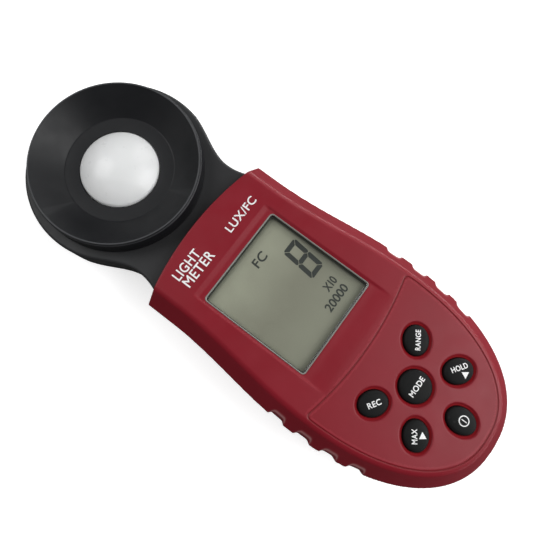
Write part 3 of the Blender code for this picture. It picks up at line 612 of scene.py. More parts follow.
def scallop_field(grid, outline):
    """Outside the solid where the finger scallops cut in: pockets open at the parting line."""
    depth = np.full(outline.shape, -FAR)
    for y in SCALLOP_Y:
        x = body_half_width(y)
        slope = (body_half_width(y + 0.1) - body_half_width(y - 0.1)) / 0.2
        along = ((grid.y - y) + (np.abs(grid.x) - x) * slope) / math.hypot(1, slope)
        cut = 1 - (along / SCALLOP_LENGTH_HALF) ** SCALLOP_POWER
        depth = np.maximum(depth, SCALLOP_DEPTH * cut)
    fade = ramp_between(grid.z, *SCALLOP_FADE_Z)
    depth = np.minimum(depth, depth * fade) - (1 - fade) * SCALLOP_CLEAR
    return outline + depth + SCALLOP_SLOPE * np.maximum(grid.z - FACET_BASE_Z, 0)


def key_turn(place):
    """The angle of a key's long axis, which points away from the middle key."""
    if place == KEYS["mode"][0]:
        return 0.0
    return math.atan2(place[1] - KEY_MODE_Y, place[0])


def grown(half, by):
    return (half[0] + by, half[1] + by)


# ---- materials


class Look:
    """A Principled material, with short names for the nodes that feed it.

    Sizes and depths are in millimetres. The shader's plain values are set on its own sockets.
    """

    def __init__(self, name, **sockets):
        self.material = bpy.data.materials.new(name)
        self.material.use_nodes = True
        self.nodes = self.material.node_tree.nodes
        self.shader = self.nodes["Principled BSDF"]
        for socket, value in sockets.items():
            self.feed(self.shader.inputs[socket.replace("_", " ")], value)

    def feed(self, socket, value):
        """Links a node's output to a socket, or sets the socket's own value."""
        if isinstance(value, bpy.types.NodeSocket):
            self.material.node_tree.links.new(value, socket)
        elif socket.type == "RGBA":
            socket.default_value = (*value, 1.0)
        else:
            socket.default_value = value

    def add(self, kind, inputs, output=0, **settings):
        """The output of a new node, with its inputs fed and its settings as attributes."""
        node = self.nodes.new("ShaderNode" + kind)
        for name, value in settings.items():
            setattr(node, name, value)
        for key, value in inputs.items():
            self.feed(node.inputs[key], value)
        return node.outputs[output]

    def place(self):
        return self.add("TexCoord", {}, "Object")

    def maths(self, operation, first, second):
        return self.add("Math", {0: first, 1: second}, operation=operation)

    def mark(self, name):
        return self.add("Attribute", {}, "Fac", attribute_name=name)

    def noise(self, size, detail=3.0, roughness=0.55, stretch=None):
        """Noise with features of about that size."""
        vector = self.place()
        if stretch:
            vector = self.add("Mapping", {"Vector": vector, "Scale": stretch})
        inputs = {"Scale": 1 / (size * MM), "Detail": detail, "Roughness": roughness}
        return self.add("TexNoise", {"Vector": vector, **inputs}, "Fac")

    def ramp(self, factor, *stops):
        """Colours against positions; each stop is (position, (r, g, b))."""
        colour = self.add("ValToRGB", {"Fac": factor}, "Color")
        elements = colour.node.color_ramp.elements
        while len(elements) < len(stops):
            elements.new(0.5)
        for element, (position, stop) in zip(elements, stops):
            element.position = position
            element.color = (*stop, 1.0)
        return colour

    def spread(self, value, low, high, start=0.3, end=0.7):
        """Maps a value between start and end to a range."""
        inputs = {"From Min": start, "From Max": end, "To Min": low, "To Max": high}
        return self.add("MapRange", {"Value": value, **inputs}, "Result")

    def mix(self, factor, first, second):
        return self.add("Mix", {0: factor, 6: first, 7: second}, 2, data_type="RGBA")

    def bump(self, height, strength, depth, before=None):
        inputs = {"Height": height, "Strength": strength, "Distance": depth * MM}
        if before:
            inputs["Normal"] = before
        return self.add("Bump", inputs)

    def finished(self, colour, roughness, normal):
        for socket, value in (("Base Color", colour), ("Roughness", roughness), ("Normal", normal)):
            self.feed(self.shader.inputs[socket], value)
        return self.material


def moulded_plastic(name, colour, light, roughness, grain, edge=0.5, marks=(), **sockets):
    """Moulded plastic with a spark-eroded grain, slight mottling and lightened edges, partly edge
    wear and partly painted highlight.

    Where its vertices carry one of the marks, it takes the mark's colour, a painted shade or
    highlight; the painted recess shade is also matt.
    """
    look = Look(name, **sockets)
    tone = look.ramp(look.noise(14.0, 4.0), (0.3, colour), (0.72, light))
    # Sharp edges are lightened by pointiness: partly edge wear, partly painted highlight
    worn_edge_highlight = tuple(min(1.0, c * 1.25 + 0.012) for c in light)
    sharp = look.spread(look.add("NewGeometry", {}, "Pointiness"), 0.0, 1.0, 0.52, 0.60)
    tone = look.mix(look.maths("MULTIPLY", sharp, edge), tone, worn_edge_highlight)
    rough = look.spread(look.noise(5.0), roughness - 0.04, roughness + 0.06)
    for mark, marked in marks:
        tone = look.mix(look.mark(mark), tone, marked)
        if mark == RECESS_SHADE_MARK:
            rough = look.maths("ADD", rough, look.maths("MULTIPLY", look.mark(mark), 0.5))
    broad = look.bump(look.noise(grain * 3.2, 2.0), 0.25, 0.02)
    fine = look.bump(look.noise(grain, 2.0, 0.6), 0.35, 0.03, broad)
    return look.finished(tone, rough, fine)


def opal_plastic():
    """Milky diffuser plastic: translucent, faintly cloudy, with a soft gloss."""
    look = Look(
        "opal_plastic",
        Subsurface_Weight=0.45,
        Subsurface_Scale=0.004,
        Subsurface_Radius=(1.0, 1.0, 0.95),
        Coat_Weight=0.12,
        Coat_Roughness=0.16,
    )
    tone = look.ramp(look.noise(9.0), (0.3, (0.89, 0.91, 0.90)), (0.7, (0.94, 0.955, 0.95)))
    rough = look.spread(look.noise(3.0), 0.26, 0.36)
    return look.finished(tone, rough, look.bump(look.noise(0.6, 2.0), 0.12, 0.02))


def clear_pane():
    """Clear acrylic: see-through, with a soft gloss, faint dust and hairline marks.

    Only its front faces shine, because light that leaves a solid pane would be mirrored whole.
    """
    look = Look("clear_window")
    look.nodes.remove(look.shader)
    streaks = look.noise(2.0, 4.0, 0.6, stretch=(1.0, 0.12, 1.0))
    dust = look.maths("MULTIPLY", look.noise(0.5, 4.0, 0.7), streaks)
    blur = look.spread(dust, 0.09, 0.14, 0.15, 0.4)
    see = look.add("BsdfTransparent", {"Color": (0.93, 0.95, 0.92)})
    gloss = look.add("BsdfGlossy", {"Color": (1.0, 1.0, 1.0), "Roughness": blur})
    entering = look.maths("SUBTRACT", 1.0, look.add("NewGeometry", {}, "Backfacing"))
    shine = look.maths("MULTIPLY", look.add("Fresnel", {"IOR": 1.42}), entering)
    pane = look.add("MixShader", {0: shine, 1: see, 2: gloss})
    look.feed(look.nodes["Material Output"].inputs["Surface"], pane)
    return look.material


# Display tones from the tail end to the head end; the climb to the lightest is painted light
LCD_COLOURS = ((0.365, 0.345, 0.302), (0.315, 0.292, 0.256), (0.496, 0.472, 0.412))


def lcd_face():
    """The display's grey-green layer, with painted light brightening it towards the head and
    painted shadow along its edges.
    """
    look = Look("lcd_face", Specular_IOR_Level=0.3)
    cloud, grain = look.noise(11.0, 2.0), look.noise(0.25, 2.0)
    axes = look.add("SeparateXYZ", {"Vector": look.place()}).node.outputs
    along = look.maths("ADD", axes["Y"], look.spread(cloud, -0.004, 0.004, 0.2, 0.8))
    painted_light_climb = look.spread(along, 0.0, 1.0, -0.026, 0.008)
    tone = look.ramp(painted_light_climb, *zip((0.0, 0.45, 1.0), LCD_COLOURS))
    tone = look.mix(look.spread(grain, 0.0, 0.12), tone, (0.19, 0.20, 0.165))
    low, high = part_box("display_window")
    # Painted shadow along the window's edges: deep on the head and +x sides, faint on the others
    for axis, strong, weak, width in (("X", high.x, low.x, 1.1), ("Y", high.y, low.y, 1.5)):
        deep = look.spread(axes[axis], 0.0, 0.75, strong - width * MM, strong - 0.1 * MM)
        faint = look.spread(axes[axis], 0.3, 0.0, weak, weak + 0.9 * MM)
        for painted_shadow in (deep, faint):
            tone = look.mix(painted_shadow, tone, (0.05, 0.047, 0.038))
    return look.finished(tone, look.spread(cloud, 0.32, 0.42), look.bump(grain, 0.1, 0.01))


def printed_ink(name, colour, roughness=0.5):
    """A printed legend: slightly uneven cover, with a fine edge grain."""
    look = Look(name)
    cover = look.noise(0.35, 3.0, 0.65)
    tone = look.ramp(cover, (0.3, tuple(c * 0.86 for c in colour)), (0.55, colour))
    rough = look.spread(cover, roughness - 0.06, roughness + 0.1)
    return look.finished(tone, rough, look.bump(cover, 0.2, 0.01))


def brushed_metal(name, colour, roughness):
    """Plated or drawn metal with fine scratches and slight tarnish."""
    look = Look(name, Metallic=1.0)
    dull = tuple(c * 0.72 for c in colour)
    tone = look.ramp(look.noise(2.5, 4.0), (0.35, dull), (0.6, colour))
    scratches = look.noise(0.4, 4.0, 0.7, stretch=(1.0, 0.2, 1.0))
    rough = look.spread(scratches, roughness - 0.08, roughness + 0.14)
    return look.finished(tone, rough, look.bump(scratches, 0.25, 0.01))


def circuit_board():
    """Green solder mask with a faint pattern of tracks under it."""
    look = Look("circuit_board", Coat_Weight=0.3)
    inputs = {"Vector": look.place(), "Scale": 1 / (1.6 * MM), "Color1": (0.012, 0.10, 0.04)}
    inputs |= {"Color2": (0.015, 0.125, 0.05), "Mortar": (0.03, 0.19, 0.08)}
    tracks = look.add("TexBrick", inputs).node.outputs
    stain = look.noise(6.0)
    tone = look.mix(look.spread(stain, 0.0, 0.35), tracks["Color"], (0.008, 0.07, 0.03))
    rough = look.spread(stain, 0.28, 0.42)
    return look.finished(tone, rough, look.bump(tracks["Fac"], 0.2, 0.03))


def striped(name, first, second, pitch, roughness):
    """Bands across the Y axis, as on a battery's printed sleeve or a zebra strip."""
    look = Look(name)
    inputs = {"Vector": look.place(), "Scale": 1 / (pitch * MM) / 3.2, "Distortion": 0.2}
    wave = look.add("TexWave", inputs, "Fac", bands_direction="Y")
    wear = look.noise(1.5, 4.0)
    tone = look.ramp(wave, (0.46, first), (0.54, second))
    rough = look.spread(wear, roughness - 0.05, roughness + 0.12)
    return look.finished(tone, rough, look.bump(wear, 0.2, 0.02))


def tinted_glass():
    """Blue-green eye-response filter glass with a faint ripple."""
    look = Look("filter_glass", Transmission_Weight=0.6, IOR=1.5)
    ripple = look.noise(2.0, 2.0)
    tone = look.ramp(ripple, (0.3, (0.16, 0.50, 0.40)), (0.7, (0.22, 0.60, 0.48)))
    return look.finished(tone, look.spread(ripple, 0.05, 0.12), look.bump(ripple, 0.1, 0.01))


RED_MARKS = (
    # painted shade in the key recesses
    (RECESS_SHADE_MARK, (0.25, 0.0001, 0.005)),
    # painted shade along the engraved groove
    (GROOVE_SHADE_MARK, (0.15, 0.0002, 0.003)),
    # painted highlight on the scallop rims
    (HIGHLIGHT_MARK, (0.60, 0.27, 0.27)),
)
# Painted highlight on the hood's lip and step
HOOD_HIGHLIGHT_MARKS = ((HIGHLIGHT_MARK, (0.062, 0.064, 0.068)),)
# Name, dark and light colours, roughness, grain size, specular level, marks
BODY_PLASTICS = (
    ("red_plastic", (0.218, 0.0033, 0.012), (0.242, 0.0048, 0.0155), 0.42, 0.45, 0.38, RED_MARKS),
    ("black_plastic", (0.0215, 0.022, 0.0235), (0.0250, 0.0255, 0.0272), 0.48, 0.5, 0.4, ()),
    ("hood_plastic", (0.006, 0.0065, 0.008), (0.0085, 0.009, 0.0105), 0.4, 0.35, 0.27, HOOD_HIGHLIGHT_MARKS),
    ("key_rubber", (0.0075, 0.0078, 0.008), (0.01, 0.0104, 0.0106), 0.58, 0.3, 0.14, ()),
)
RED, BLACK, HOOD_BLACK, KEY_BLACK = (
    moulded_plastic(*plastic, marks=marks, Specular_IOR_Level=level)
    for *plastic, level, marks in BODY_PLASTICS
)
# A pale grey ring that paints the window pane's edge highlight
HIGHLIGHT_RIM_PLASTIC = moulded_plastic(
    "rim_painted_highlight", (0.215, 0.215, 0.197), (0.245, 0.245, 0.225), 0.42, 2.5, 0.0
)
# A dark ring that paints the shadow under the pane's edge
SHADOW_TAPE = moulded_plastic("painted_shadow_tape", (0.040, 0.040, 0.036), (0.050, 0.050, 0.045), 0.7, 1.5, 0.0)
OPAL = opal_plastic()
WINDOW = clear_pane()
WHITE_INK = printed_ink("white_ink", (0.93, 0.93, 0.93))
SEGMENT_INK = printed_ink("lcd_segments", (0.046, 0.047, 0.051), 0.4)

CREAM_NODES = "lcd_frame sensor_connector photodiode"
POSITIVE_LEADS = "sensor_lead_positive battery_lead_positive"
NEGATIVE_LEADS = "sensor_lead_negative battery_lead_negative"
SCREWS = "case_screw board_screw head_screw sensor_screw"
# Node name beginnings; their plastic's name, dark and light colours, roughness and grain size
CAD_PLASTICS = (
    ("keypad_mat dome_seal", "mat_rubber", (0.05, 0.05, 0.052), (0.075, 0.075, 0.078), 0.62, 0.3),
    ("contact_pill", "carbon_rubber", (0.012, 0.012, 0.013), (0.022, 0.022, 0.024), 0.7, 0.2),
    ("meter_chip", "chip_epoxy", (0.011, 0.011, 0.012), (0.018, 0.018, 0.019), 0.42, 0.4),
    ("capacitor", "capacitor_sleeve", (0.015, 0.02, 0.05), (0.025, 0.03, 0.07), 0.35, 0.4),
    ("trimmer", "trimmer_blue", (0.03, 0.10, 0.30), (0.04, 0.13, 0.36), 0.4, 0.4),
    (CREAM_NODES, "cream_nylon", (0.60, 0.56, 0.46), (0.68, 0.64, 0.54), 0.48, 0.4),
    (POSITIVE_LEADS, "lead_red", (0.30, 0.012, 0.012), (0.36, 0.02, 0.02), 0.42, 0.3),
    (NEGATIVE_LEADS, "lead_black", (0.012, 0.012, 0.012), (0.02, 0.02, 0.02), 0.42, 0.3),
)
# Node name beginnings and their material
CAD_FINISHES = (
    (SCREWS, brushed_metal("screw_steel", (0.50, 0.49, 0.47), 0.32)),
    ("contact_spring contact_plate", brushed_metal("contact_plating", (0.66, 0.63, 0.55), 0.28)),
    ("crystal", brushed_metal("crystal_can", (0.62, 0.62, 0.63), 0.25)),
    ("cell", striped("cell_sleeve", (0.020, 0.035, 0.085), (0.42, 0.43, 0.42), 46.0, 0.3)),
    ("zebra_strip", striped("zebra_rubber", (0.02, 0.02, 0.02), (0.55, 0.50, 0.44), 0.5, 0.6)),
    ("main_board sensor_board", circuit_board()),
    ("colour_filter", tinted_glass()),
    ("lcd_glass", lcd_face()),
    *((nodes, moulded_plastic(*plastic)) for nodes, *plastic in CAD_PLASTICS),
)


def finish_cad_nodes():
    """Gives every CAD node that is shown its procedural material."""
    for starts, material in CAD_FINISHES:
        for name, obj in NODES.items():
            if name.startswith(tuple(starts.split())):
                obj.data.materials.clear()
                obj.data.materials.append(material)


# ---- shells


def panel_field(grid, outline):
    """Negative inside the keypad panel's engraved line."""
    arc_y = PANEL_TOP_Y + PANEL_TOP_RADIUS
    top = PANEL_TOP_RADIUS - np.hypot(grid.x, grid.y - arc_y)
    return round_max(outline + PANEL_INSET, top, PANEL_CORNER)


def tray_depth(grid):
    """How far the face is sunk round the display."""
    head_low, head_high = TRAY_HEAD_RAMP
    tray = np.clip((head_high - grid.y) / (head_high - head_low), 0, 1)
    tray = tray * ramp_between(grid.y, *TRAY_TAIL_RAMP)
    return TRAY_DEPTH * tray * (1 - ramp_between(np.abs(grid.x), *TRAY_SIDE_RAMP))


def cut_groove(skin, panel, grid):
    """Cuts the keypad panel's fine groove into the face, on a finer mesh along its line."""
    shape = bmesh.new()
    shape.from_mesh(skin.data)
    places = vertex_places(skin)
    near = np.abs(field_at(panel, grid, places)) < GROOVE_BAND
    near &= places[:, 2] > BODY_ROOF + 1
    edges = [e for e in shape.edges if near[e.verts[0].index] or near[e.verts[1].index]]
    bmesh.ops.subdivide_edges(shape, edges=edges, cuts=GROOVE_CUTS, use_grid_fill=True)
    shape.to_mesh(skin.data)
    shape.free()
    skin.data.shade_smooth()
    places = vertex_places(skin)
    groove = GROOVE_DEPTH * bell(field_at(panel, grid, places), GROOVE_HALF)
    places[:, 2] -= np.where(places[:, 2] > BODY_ROOF + 1, groove, 0)
    skin.data.vertices.foreach_set("co", (places * MM).astype(np.float32).ravel())
    skin.data.update()


def make_front_shell():
    """The red front shell: facet, seam arch, display tray, key recesses, groove and scallops."""
    grid = Grid(BULGE_HALF, (TAIL_Y, SEAM_APEX_Y), (FACET_BASE_Z, FACE_Z), FINE_STEP)
    outline = outline_field(grid, body_side())
    rise, run = FACET_TOP_Z - FACET_BASE_Z, FACET_TOP_INSET
    facet = (outline * rise + (grid.z - FACET_BASE_Z) * run) / math.hypot(rise, run)
    pocket = scallop_field(grid, outline)
    panel = panel_field(grid, outline)

    shell = round_max(facet, grid.z - FACE_Z + tray_depth(grid), FACE_RADIUS)
    shell = round_max(shell, seam_field(grid), SMALL_RADIUS)
    shell = np.maximum(shell, FACET_BASE_Z - grid.z)
    shell = round_max(shell, pocket, RECESS_RADIUS)
    shell = carve(shell, overlap(facet + FRONT_WALL, grid.z - BODY_ROOF, inner_end(grid)))
    shell = screwed(shell, grid, CASE_SCREWS, *FRONT_CASE_WORK)
    shell = screwed(shell, grid, BOARD_SCREWS, *BOARD_WORK)
    shell = carve(shell, neck_passage(grid))
    shell = carve(shell, display_box(grid, DISPLAY_GAP, (DISPLAY_SEAT_Z, FACE_Z + 2)))
    shell = carve(shell, display_box(grid, -DISPLAY_LEDGE, (BODY_ROOF - 1, FACE_Z)))
    recess_shade_reach = np.full(outline.shape, FAR)
    for place, half in KEYS.values():
        turn = key_turn(place)
        recess = ellipse_field(grid, place, grown(half, KEY_RECESS_OUT), turn)
        hole = ellipse_field(grid, place, grown(half, KEY_HOLE_OUT), turn)
        recess_shade_reach = np.minimum(recess_shade_reach, recess)
        recess = recess + KEY_RECESS_SLOPE * (FACE_Z - grid.z)
        shell = carve(shell, np.maximum(recess, KEY_RECESS_Z - grid.z), RECESS_RADIUS)
        shell = carve(shell, np.maximum(hole, BODY_ROOF - 1 - grid.z))

    skin = field_object("front_shell_skin", shell, grid, RED)
    cut_groove(skin, panel, grid)
    places = vertex_places(skin)
    # Painted shade: the key recesses' walls and floors take a deeper, matt red
    below = ramp_between(FACE_Z - places[:, 2], *RECESS_SHADE_DEPTHS)
    outside = ramp_between(field_at(recess_shade_reach, grid, places), *RECESS_SHADE_EDGE)
    mark_vertices(skin, RECESS_SHADE_MARK, below * (1 - outside))
    # Painted shade along the engraved groove
    line = bell(field_at(panel, grid, places), GROOVE_SHADE)
    line[places[:, 2] < BODY_ROOF + 1] = 0
    mark_vertices(skin, GROOVE_SHADE_MARK, line)
    # Painted highlight along the scallops' rims
    off_rim = np.hypot(field_at(facet, grid, places), field_at(pocket, grid, places))
    mark_vertices(skin, HIGHLIGHT_MARK, bell(off_rim, HIGHLIGHT_WIDTH))
    return skin


def rear_form(grid, outline):
    """The rear half's outer form: a slight draft and a rolled bottom edge."""
    roll = rolled_edge(grid.z, ROLL_WIDTH, ROLL_HEIGHT)
    draft = REAR_DRAFT * (1 - grid.z / REAR_TOP_Z)
    return overlap(outline + roll + draft, -grid.z, grid.z - REAR_TOP_Z)


def make_rear_shell():
    """The red rear shell with its battery bay, screw recesses and cover slot."""
    grid = Grid(BULGE_HALF, (TAIL_Y, SEAM_APEX_Y), (0.0, REAR_TOP_Z), COARSE_STEP)
    outline = outline_field(grid, body_side())
    shell = round_max(rear_form(grid, outline), seam_field(grid), SMALL_RADIUS)
    shell = round_max(shell, scallop_field(grid, outline), REAR_SCALLOP_RADIUS)
    above = grid.z - BODY_FLOOR
    wall = outline + rolled_edge(above, ROLL_WIDTH, ROLL_HEIGHT) + REAR_WALL
    shell = carve(shell, overlap(wall, -above, inner_end(grid)))
    well_y = (WELL_Y[0] - WELL_WALL, WELL_Y[1] + WELL_WALL)
    well_z = (BODY_FLOOR - 0.5, WELL_TOP + WELL_ROOF)
    shell = np.minimum(shell, box_field(grid, WELL_HALF + WELL_WALL, well_y, well_z))
    shell = screwed(shell, grid, CASE_SCREWS, *REAR_CASE_WORK)
    cover_top = COVER_TOP + GAP
    rail_half = COVER_HALF + TONGUE_OUT + GAP
    slot_y = (PAST_TAIL_Y, COVER_END_Y + GAP / 2)
    rail_y, rail_z = (PAST_TAIL_Y, TONGUE_Y[1] + GAP), (TONGUE_Z[0] - GAP, cover_top)
    for tool in (
        box_field(grid, WELL_HALF, WELL_Y, (UNDER_Z, WELL_TOP)),
        box_field(grid, COVER_HALF + GAP / 2, slot_y, (UNDER_Z, cover_top)),
        box_field(grid, rail_half, rail_y, rail_z),
        neck_passage(grid),
    ):
        shell = carve(shell, tool)
    return field_object("rear_shell_skin", shell, grid, RED)


def make_battery_cover():
    """The sliding cover, with its side tongues and thumb grooves."""
    tongue_half = COVER_HALF + TONGUE_OUT
    grid = Grid(tongue_half, (TAIL_Y, COVER_END_Y), (0.0, COVER_TOP), FINE_STEP)
    outline = outline_field(grid, body_side())
    limits = box_field(grid, COVER_HALF, (PAST_TAIL_Y, COVER_END_Y), (UNDER_Z, COVER_TOP))
    cover = round_max(rear_form(grid, outline), limits, SMALL_RADIUS)
    cover = np.minimum(cover, box_field(grid, tongue_half, TONGUE_Y, TONGUE_Z))
    half_x, half_y = THUMB_GROOVE_HALF
    for y in THUMB_GROOVES_Y:
        along, up = (y - half_y, y + half_y), (UNDER_Z, THUMB_GROOVE_TOP)
        groove = box_field(grid, half_x, along, up, THUMB_GROOVE_CORNER)
        cover = carve(cover, groove, SMALL_RADIUS)
    return field_object("battery_cover_skin", cover, grid, RED)


def head_grid(low, high, step):
    return Grid(HEAD_RADIUS, (TONGUE_END_Y, HEAD_OUTLINE_Y + HEAD_RADIUS), (low, high), step)


def make_head_plate():
    """The black upper half of the head and neck."""
    grid = head_grid(HEAD_SPLIT_Z, HEAD_TOP_Z, FINE_STEP)
    head = head_distance(grid)
    plate = round_max(head, grid.z - HEAD_TOP_Z, PLATE_RADIUS)
    plate = np.maximum(plate, HEAD_POST_BASE - grid.z)
    plate = carve(plate, overlap(head + WALL, grid.z - HEAD_ROOF, HEAD_SPLIT_Z - 1 - grid.z))
    plate = screwed(plate, grid, [(0, HEAD_Y)], *DOME_WORK)
    plate = screwed(plate, grid, HEAD_SCREWS, *HEAD_TOP_WORK)
    plate = screwed(plate, grid, SENSOR_SCREWS, *SENSOR_WORK)
    return field_object("head_plate_skin", plate, grid, BLACK)


def make_head_back():
    """The black lower half of the head and neck, with rolled edges and screw recesses."""
    grid = head_grid(HEAD_BOTTOM_Z, HEAD_SPLIT_Z, COARSE_STEP)
    head = head_distance(grid)
    above = grid.z - HEAD_BOTTOM_Z
    roll = rolled_edge(above, HEAD_ROLL_WIDTH, HEAD_ROLL_HEIGHT)
    back = overlap(head + roll, -above, grid.z - HEAD_SPLIT_Z + GAP / 2)
    back = carve(back, np.maximum(head + roll * HEAD_INNER_ROLL + WALL, HEAD_FLOOR - grid.z))
    back = screwed(back, grid, HEAD_SCREWS, *HEAD_BACK_WORK)
    return field_object("head_back_skin", back, grid, BLACK)


# ---- turned and lofted pieces


def rounded(profile, radius, steps=4):
    """Cuts each inner corner of an open profile back to a small arc."""
    points = [Vector(p) for p in profile]
    softened = [points[0]]
    for before, corner, after in zip(points, points[1:], points[2:]):
        reach_in = min(radius, (before - corner).length * 0.45)
        reach_out = min(radius, (after - corner).length * 0.45)
        start = corner + (before - corner).normalized() * reach_in
        end = corner + (after - corner).normalized() * reach_out
        for i in range(steps + 1):
            t = i / steps
            softened.append(start * (1 - t) ** 2 + corner * 2 * t * (1 - t) + end * t**2)
    softened.append(points[-1])
    return softened


def ringed_object(name, rings, material, close_ends=False, loop=False):
    """A smooth piece through rings of points in millimetres, each ring of equal length."""
    shape = bmesh.new()
    rows = [[shape.verts.new(Vector(point) * MM) for point in ring] for ring in rings]
    following = rows[1:] + rows[:1] if loop else rows[1:]
    for lower, upper in zip(rows, following):
        for i in range(len(lower)):
            j = (i + 1) % len(lower)
            shape.faces.new((lower[i], lower[j], upper[j], upper[i]))
    if close_ends:
        shape.faces.new(reversed(rows[0]))
        shape.faces.new(rows[-1])
    bmesh.ops.remove_doubles(shape, verts=shape.verts, dist=1e-7)
    bmesh.ops.recalc_face_normals(shape, faces=shape.faces)
    return shape_object(name, shape, material)


def circle(count, start=0.0):
    """Unit directions spaced evenly round a circle."""
    angles = (start + 2 * math.pi * i / count for i in range(count))
    return [(math.cos(angle), math.sin(angle)) for angle in angles]


def turned_object(name, profile, material, loop=True):
    """A profile of (radius, height) points turned about the head's upright axis."""
    rings = [
        [(radius * cos, HEAD_Y + radius * sin, height) for cos, sin in circle(TURNED_SEGMENTS)]
        for radius, height in profile
    ]
    return ringed_object(name, rings, material, loop=loop)


def make_hood():
    """The funnel round the dome, with its lip, stepped outer wall and flat floor."""
    profile = rounded(HOOD_SECTION, HOOD_RADIUS)[:-1]
    hood = turned_object("sensor_hood_skin", profile, HOOD_BLACK)
    # Painted highlight rings on the lip and the step
    height = vertex_places(hood)[:, 2]
    step = np.abs(height - HOOD_STEP_Z) < HOOD_STEP_BAND
    mark_vertices(hood, HIGHLIGHT_MARK, HOOD_LIP_SHINE * (height > HOOD_LIP_Z) + HOOD_STEP_SHINE * step)
    return hood


def make_dome():
    """The hollow opal dome with its round flange."""
    rise = DOME_CROWN_Z - DOME_EDGE_Z
    sphere = (DOME_EDGE_RADIUS**2 + rise**2) / (2 * rise)

    def arc(radius, most):
        widest = math.asin(most / radius)
        angles = [widest * i / DOME_STEPS for i in range(DOME_STEPS + 1)]
        centre_z = DOME_CROWN_Z - sphere
        return [(radius * math.sin(a) + DOME_TIP, centre_z + radius * math.cos(a)) for a in angles]

    inner = DOME_EDGE_RADIUS - DOME_WALL
    bottom, top = DOME_FLANGE_Z
    profile = arc(sphere, DOME_EDGE_RADIUS) + [(DOME_EDGE_RADIUS, top), (DOME_FLANGE_RADIUS, top)]
    profile += [(DOME_FLANGE_RADIUS, bottom), (inner, bottom)]
    profile += reversed(arc(sphere - DOME_WALL, inner))
    return turned_object("diffuser_dome_skin", profile, OPAL, loop=False)


def key_height(share):
    """A key cap's height at a share of its radius: a soft crown, falling to a rolled edge."""
    rise = KEY_CROWN_Z - KEY_EDGE_Z
    crown = KEY_EDGE_Z + rise * (1 - share**2 * KEY_FALL)
    edge = max(0.0, (share - KEY_ROLL_START) / (1 - KEY_ROLL_START))
    return crown - rise * KEY_ROLL_FALL * (1 - math.sqrt(max(0.0, 1 - edge**2)))


def make_key(name, place, half):
    """A rubber key: crowned cap, rolled edge, skirt, flange and flat underside."""
    turn = key_turn(place)
    turn_cos, turn_sin = math.cos(turn), math.sin(turn)
    sections = []
    for i in range(KEY_CROWN_STEPS + 1):
        share = max(KEY_TIP, math.sin(math.pi / 2 * i / KEY_CROWN_STEPS))
        sections.append((share, key_height(share), 0.0))
    rings = []
    for share, height, out in (*sections, *KEY_SKIRT):
        ring = []
        for cos, sin in circle(KEY_SEGMENTS):
            u, v = (half[0] * share + out) * cos, (half[1] * share + out) * sin
            x, y = u * turn_cos - v * turn_sin, u * turn_sin + v * turn_cos
            ring.append((place[0] + x, place[1] + y, height))
        rings.append(ring)
    return ringed_object(f"key_cap_{name}", rings, KEY_BLACK, close_ends=True)


def window_piece(name, rows, material, **ends):
    """A piece through rounded rectangles round the window: (how far outside, corner, height)."""
    rings = []
    for by, corner, height in rows:
        half_x, half_y = grown(DISPLAY_HALF, by)
        ring = []
        for i, (sx, sy) in enumerate(((1, 1), (-1, 1), (-1, -1), (1, -1))):
            for j in range(WINDOW_CORNER_STEPS + 1):
                angle = math.pi / 2 * (i + j / WINDOW_CORNER_STEPS)
                x = sx * (half_x - corner) + corner * math.cos(angle)
                y = sy * (half_y - corner) + corner * math.sin(angle)
                ring.append((x, DISPLAY_Y + y, height))
        rings.append(ring)
    return ringed_object(name, rings, material, **ends)


# ---- legends


def lettering(name, text, at, size, bold, slant=0.0, spacing=LETTER_SPACING, **laid):
    """Printed letters of a given width and height about a place, laid on a surface.

    To look bold they are struck three times more, each a little aside.
    """
    curve = bpy.data.curves.new(name, "FONT")
    curve.body = text
    curve.size = LETTER_SIZE
    curve.shear = slant
    curve.space_character = spacing
    drawn = new_object(name + "_curve", curve)
    graph = bpy.context.evaluated_depsgraph_get()
    mesh = bpy.data.meshes.new_from_object(drawn.evaluated_get(graph))
    bpy.data.objects.remove(drawn)
    shape = bmesh.new()
    shape.from_mesh(mesh)
    bpy.data.meshes.remove(mesh)
    for axis, wanted in enumerate(size):
        places = [vertex.co[axis] for vertex in shape.verts]
        middle, extent = (max(places) + min(places)) / 2, max(places) - min(places)
        for vertex in shape.verts:
            vertex.co[axis] = (vertex.co[axis] - middle) * (wanted - 2 * bold) / extent
    strike = list(shape.faces)
    for level, (cos, sin) in enumerate(circle(3, math.pi / 2), start=1):
        copied = bmesh.ops.duplicate(shape, geom=strike)["geom"]
        moved = [v for v in copied if isinstance(v, bmesh.types.BMVert)]
        aside = (bold * cos, bold * sin, STRIKE_LIFT * level)
        bmesh.ops.translate(shape, verts=moved, vec=aside)
    return laid_on(name, shape, at, **laid)


def laid_on(name, shape, at, ink, surface, thick=INK_THICK, turn=0.0):
    """Lays flat faces in millimetres on a height function and gives them the ink's thickness."""
    bmesh.ops.triangulate(shape, faces=shape.faces)
    long_edges = [e for e in shape.edges if e.calc_length() > LONGEST_EDGE]
    bmesh.ops.subdivide_edges(shape, edges=long_edges, cuts=1, use_grid_fill=False)
    bmesh.ops.triangulate(shape, faces=shape.faces)
    matrix = Matrix.Translation((at[0], at[1], 0)) @ Matrix.Rotation(turn, 4, "Z")
    bmesh.ops.transform(shape, matrix=matrix, verts=shape.verts)
    top = bmesh.ops.extrude_face_region(shape, geom=shape.faces)
    raised = [v for v in top["geom"] if isinstance(v, bmesh.types.BMVert)]
    for vertex in shape.verts:
        vertex.co.z += surface(vertex.co.x, vertex.co.y) + INK_LIFT
    for vertex in raised:
        vertex.co.z += thick
    bmesh.ops.scale(shape, vec=(MM, MM, MM), verts=shape.verts)
    bmesh.ops.recalc_face_normals(shape, faces=shape.faces)
    return shape_object(name, shape, ink, smooth=False)


